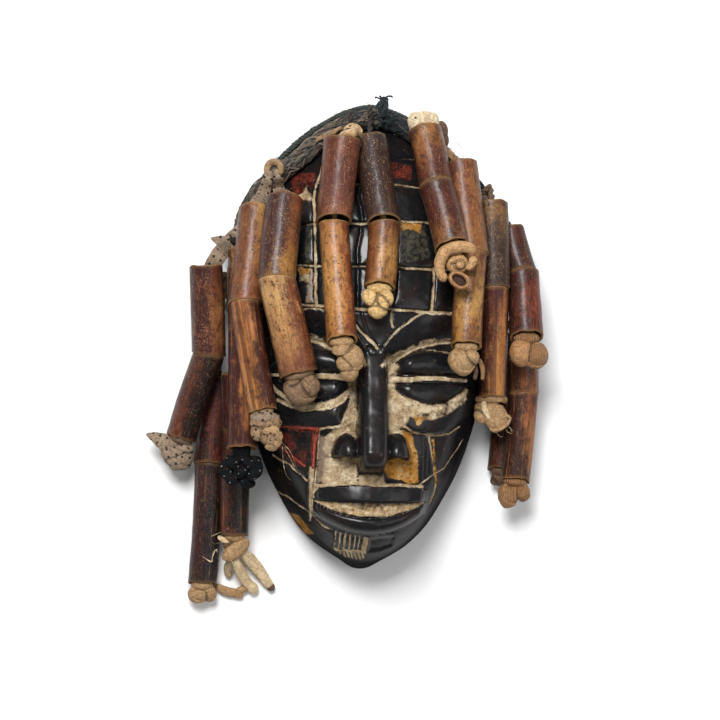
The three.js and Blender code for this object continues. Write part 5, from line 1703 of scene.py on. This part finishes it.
class OBJECT_OT_crown_bindings(bpy.types.Operator):
    """Make the fibre roll, the twisted edge cord, the light cord and the thread tuft"""

    bl_idname = "object.crown_bindings"
    bl_label = "Crown bindings"

    def execute(self, context):
        settings = context.scene.fibre_settings
        random = np.random.RandomState(11)
        fibre = fibre_material("matted_fibre", 0.85)
        thread = fibre_material("dark_thread", 0.7)
        roll, cord, dark = tuple(settings.roll), tuple(settings.cord), tuple(settings.thread)
        # The roll: a lumpy core under a mat of fibres that run slantwise round it
        path = in_frame(curve_through(ROLL_PATH, 300))
        frames = carried(path, (0, 0, 1))
        along = directions(path)
        strip = Strip()
        strip.sweep(path, frames, 6.4 * MM, 5.8 * MM, roll, around=24)
        for vert in strip.bm.verts:
            # Right of the middle the roll is dark thread.
            if vert.co.x > SHIFT.x + 4 * MM:
                vert[strip.tone] = (*DARK_THREADS[1], 1.0)
        strip.wrinkle(1.1 * MM, 170, 3)
        tones = [tint(c) for c in ("6b6056", "463e37", "857868", "35312d", "2c3334", "5f554a")]
        for _ in range(settings.fibres):
            place = random.uniform(0.01, 0.97)
            reach = random.uniform(0.012, 0.055) * random.choice((-1, 1))
            turn = random.uniform(-0.6, math.pi + 0.6)
            t = np.linspace(0, 1, 7)
            places = np.clip(place + reach * t, 0.005, 0.995)
            turns = turn + random.uniform(-1.4, 1.4) * t
            lift = 6.1 + random.uniform(0, 0.9)
            lift = (lift + random.uniform(-0.2, 0.9) * np.sin(t * math.pi * random.uniform(0.5, 2))) * MM
            points = on_roll(path, along, frames, places, turns, lift)
            radius = settings.fibre_radius * random.uniform(0.6, 1.4)
            tone = tones[random.randint(len(tones))]
            if 0.15 < place < 0.5 and random.uniform() < 0.85:
                tone = DARK_THREADS[random.randint(len(DARK_THREADS))]
            strip.sweep(points, carried(points, (0.2, 0.3, 1)), radius, radius, tone, around=4)
        made = finished(strip.bm, "matted_roll", fibre)
        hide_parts("crown_roll")
        # The edge cord: three plies laid round one another, with short hairs standing off it
        path = in_frame(curve_through(CORD_PATH, 560))
        frames = carried(path, (0, 0, 1))
        along = directions(path)
        second = np.cross(along, frames)
        run = np.concatenate([[0], np.cumsum(np.linalg.norm(np.diff(path, axis=0), axis=1))])
        strip = Strip()
        for ply in range(CORD_PLIES):
            turn = run / CORD_TURN * 2 * math.pi + ply * 2 * math.pi / CORD_PLIES
            ways = path + (frames * np.cos(turn)[:, None] + second * np.sin(turn)[:, None]) * 1.15 * MM
            strip.sweep(ways, frames, 1.25 * MM, 1.25 * MM, cord, around=7)
        for _ in range(CORD_HAIRS):
            place = random.uniform(0.01, 0.99)
            t = np.linspace(0, 1, 5)
            turn = random.uniform(-0.4, math.pi + 0.4)
            places = np.clip(place + random.uniform(-0.02, 0.02) * t, 0, 1)
            lift = (2.0 + random.uniform(0.2, 2.4) * t * t) * MM
            points = on_roll(path, along, frames, places, turn + random.uniform(-1, 1) * t, lift)
            tone = (cord, dark, tint("59605a"), tint("45443a"))[random.randint(4)]
            strip.sweep(points, carried(points, (0.2, 0.3, 1)), 0.22 * MM, 0.22 * MM, tone, around=3)
        made = finished(strip.bm, "twisted_edge_cord", thread)
        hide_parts("edge_cord")
        # The light cord, a frayed bundle of strands
        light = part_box("light_cord")
        low, high = np.array(light[0]), np.array(light[1])
        strip = Strip()
        height = (low[2] + high[2]) / 2
        for k in range(LIGHT_STRANDS):
            start = np.array([low[0] + 0.5 * MM, low[1] + (3 + 0.4 * k) * MM, height - 0.5 * MM])
            t = np.linspace(0, 1, 8)[:, None]
            stop = np.array([high[0] - 1 * MM, high[1] - (2.2 + 0.2 * k) * MM, height + 0.6 * MM])
            wiggle = random.normal(0, 0.5 * MM, (8, 3)) * np.sin(t * math.pi)
            bundle = start * (1 - t) + stop * t + wiggle
            rope(strip, bundle, [0.5 * MM, 1.15 * MM, 0.8 * MM], (GREY, LIGHT, TAN)[k % 3], around=6)
        made = finished(strip.bm, "frayed_light_cord", fibre)
        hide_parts("light_cord")
        # The tuft: dark threads that loop up and back
        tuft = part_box("thread_tuft")
        low, high = np.array(tuft[0]), np.array(tuft[1])
        low[:2] -= (12 * MM, 6 * MM)
        root = np.array([high[0] - 15 * MM, low[1] + 7 * MM, low[2] + 4 * MM])
        room = high[1] - root[1] - 0.9 * MM
        strip = Strip()
        for k in range(TUFT_LOOPS):
            lean = random.uniform(-0.7, 0.5)
            size = random.uniform(0.4, 1.0)
            t = np.linspace(0, 1, 9)
            loop = np.column_stack([
                size * 8 * MM * (lean * t + 0.3 * np.sin(t * math.pi * 2 + k)),
                size * room * np.sin(t * math.pi * random.uniform(0.45, 0.9)),
                size * 6 * MM * (np.sin(t * math.pi) + 0.3 * np.cos(t * 5 + k)),
            ])
            points = np.clip(root + loop, low + 0.4 * MM, high - 0.4 * MM)
            radius = random.uniform(0.35, 0.75) * MM
            rope(strip, points, radius, (dark, tint("0f2226"), tint("1d2c30"))[k % 3], count=26, around=6)
        for k in range(TUFT_ENDS):
            start = root + random.uniform(-3, 3, 3) * MM
            t = np.linspace(0, 1, 7)[:, None]
            reach = np.array([random.uniform(-8, 20), random.uniform(-9, 5), random.uniform(-5, 1)]) * MM
            points = start + reach * t + random.normal(0, 0.8 * MM, (7, 3)) * t
            rope(strip, points, 0.3 * MM, (dark, tint("2a3a38"))[k % 2], count=18, around=4)
        made = finished(strip.bm, "looped_tuft", thread)
        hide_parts("thread_tuft")
        return {"FINISHED"}


# Stage


class OBJECT_OT_mask_studio(bpy.types.Operator):
    """Lay a plain floor, hang the soft lights and set up the camera"""

    bl_idname = "object.mask_studio"
    bl_label = "Studio"

    def execute(self, context):
        settings = context.scene.stage_settings
        paint = Paint("studio_floor")
        paint.feed(paint.shader.inputs["Base Color"], tuple(settings.floor))
        paint.feed(paint.shader.inputs["Roughness"], 0.9)
        bm = bmesh.new()
        bmesh.ops.create_grid(bm, x_segments=4, y_segments=4, size=4.0)
        mesh = bpy.data.meshes.new("studio_floor")
        bm.to_mesh(mesh)
        bm.free()
        mesh.materials.append(paint.material)
        mesh.transform(Matrix.Translation((0, 0, -0.2 * MM)))
        floor = bpy.data.objects.new("studio_floor", mesh)
        context.scene.collection.objects.link(floor)
        context.scene.view_settings.view_transform = "Standard"
        world = bpy.data.worlds.new("soft_studio")
        world.use_nodes = True
        sky = world.node_tree.nodes["Background"]
        sky.inputs["Color"].default_value = (1.0, 1.0, 1.0, 1.0)
        sky.inputs["Strength"].default_value = settings.sky
        context.scene.world = world
        target = Vector((SHIFT.x - 7 * MM, SHIFT.y, 50 * MM))
        for name, place, size, power in (
            ("key_light", (-0.35, 0.75, 1.5), 0.6, settings.key_power),
            ("fill_light", (0.9, -0.3, 1.2), 1.0, settings.fill_power),
        ):
            lamp = bpy.data.lights.new(name, "AREA")
            lamp.size = size
            lamp.energy = power
            light = bpy.data.objects.new(name, lamp)
            light.location = place
            light.rotation_euler = (target - Vector(place)).to_track_quat("-Z", "Y").to_euler()
            context.scene.collection.objects.link(light)
        yaw, roll = settings.yaw, settings.roll
        back = Vector((-math.sin(yaw), 0, math.cos(yaw)))
        level = Vector((math.cos(yaw), 0, math.sin(yaw)))
        right = level * math.cos(roll) + Vector((0, 1, 0)) * math.sin(roll)
        above = Vector((0, 1, 0)) * math.cos(roll) - level * math.sin(roll)
        camera_data = bpy.data.cameras.new("photo_camera")
        camera_data.lens = settings.lens
        camera_data.sensor_width = 36.0
        camera = bpy.data.objects.new("photo_camera", camera_data)
        turn = Matrix((right, above, back)).transposed().to_4x4()
        camera.matrix_world = Matrix.Translation(target + back * settings.distance) @ turn
        context.scene.collection.objects.link(camera)
        context.scene.camera = camera
        return {"FINISHED"}


class VIEW3D_PT_dreadlock_mask(bpy.types.Panel):
    """The steps that make the mask"""

    bl_label = "Bamboo Dreadlock Mask"
    bl_idname = "VIEW3D_PT_dreadlock_mask"
    bl_space_type = "VIEW_3D"
    bl_region_type = "UI"
    bl_category = "Mask"

    def draw(self, context):
        for operator in OPERATORS:
            self.layout.operator(operator.bl_idname)


GROUPS = {
    "mask_settings": MaskSettings,
    "cane_settings": CaneSettings,
    "leather_settings": LeatherSettings,
    "fibre_settings": FibreSettings,
    "stage_settings": StageSettings,
}
OPERATORS = (
    OBJECT_OT_mask_studio,
    OBJECT_OT_carved_mask,
    OBJECT_OT_bamboo_tubes,
    OBJECT_OT_leather_thongs,
    OBJECT_OT_crown_bindings,
)


def register():
    for made in (*GROUPS.values(), *OPERATORS, VIEW3D_PT_dreadlock_mask):
        bpy.utils.register_class(made)
    for name, group in GROUPS.items():
        setattr(bpy.types.Scene, name, PointerProperty(type=group))


def unregister():
    for name in GROUPS:
        delattr(bpy.types.Scene, name)
    for made in reversed((*GROUPS.values(), *OPERATORS, VIEW3D_PT_dreadlock_mask)):
        bpy.utils.unregister_class(made)


def main():
    register()
    bpy.ops.object.mask_studio()
    bpy.ops.object.carved_mask()
    bpy.ops.object.bamboo_tubes()
    bpy.ops.object.leather_thongs()
    bpy.ops.object.crown_bindings()


if __name__ == "__main__":
    main()
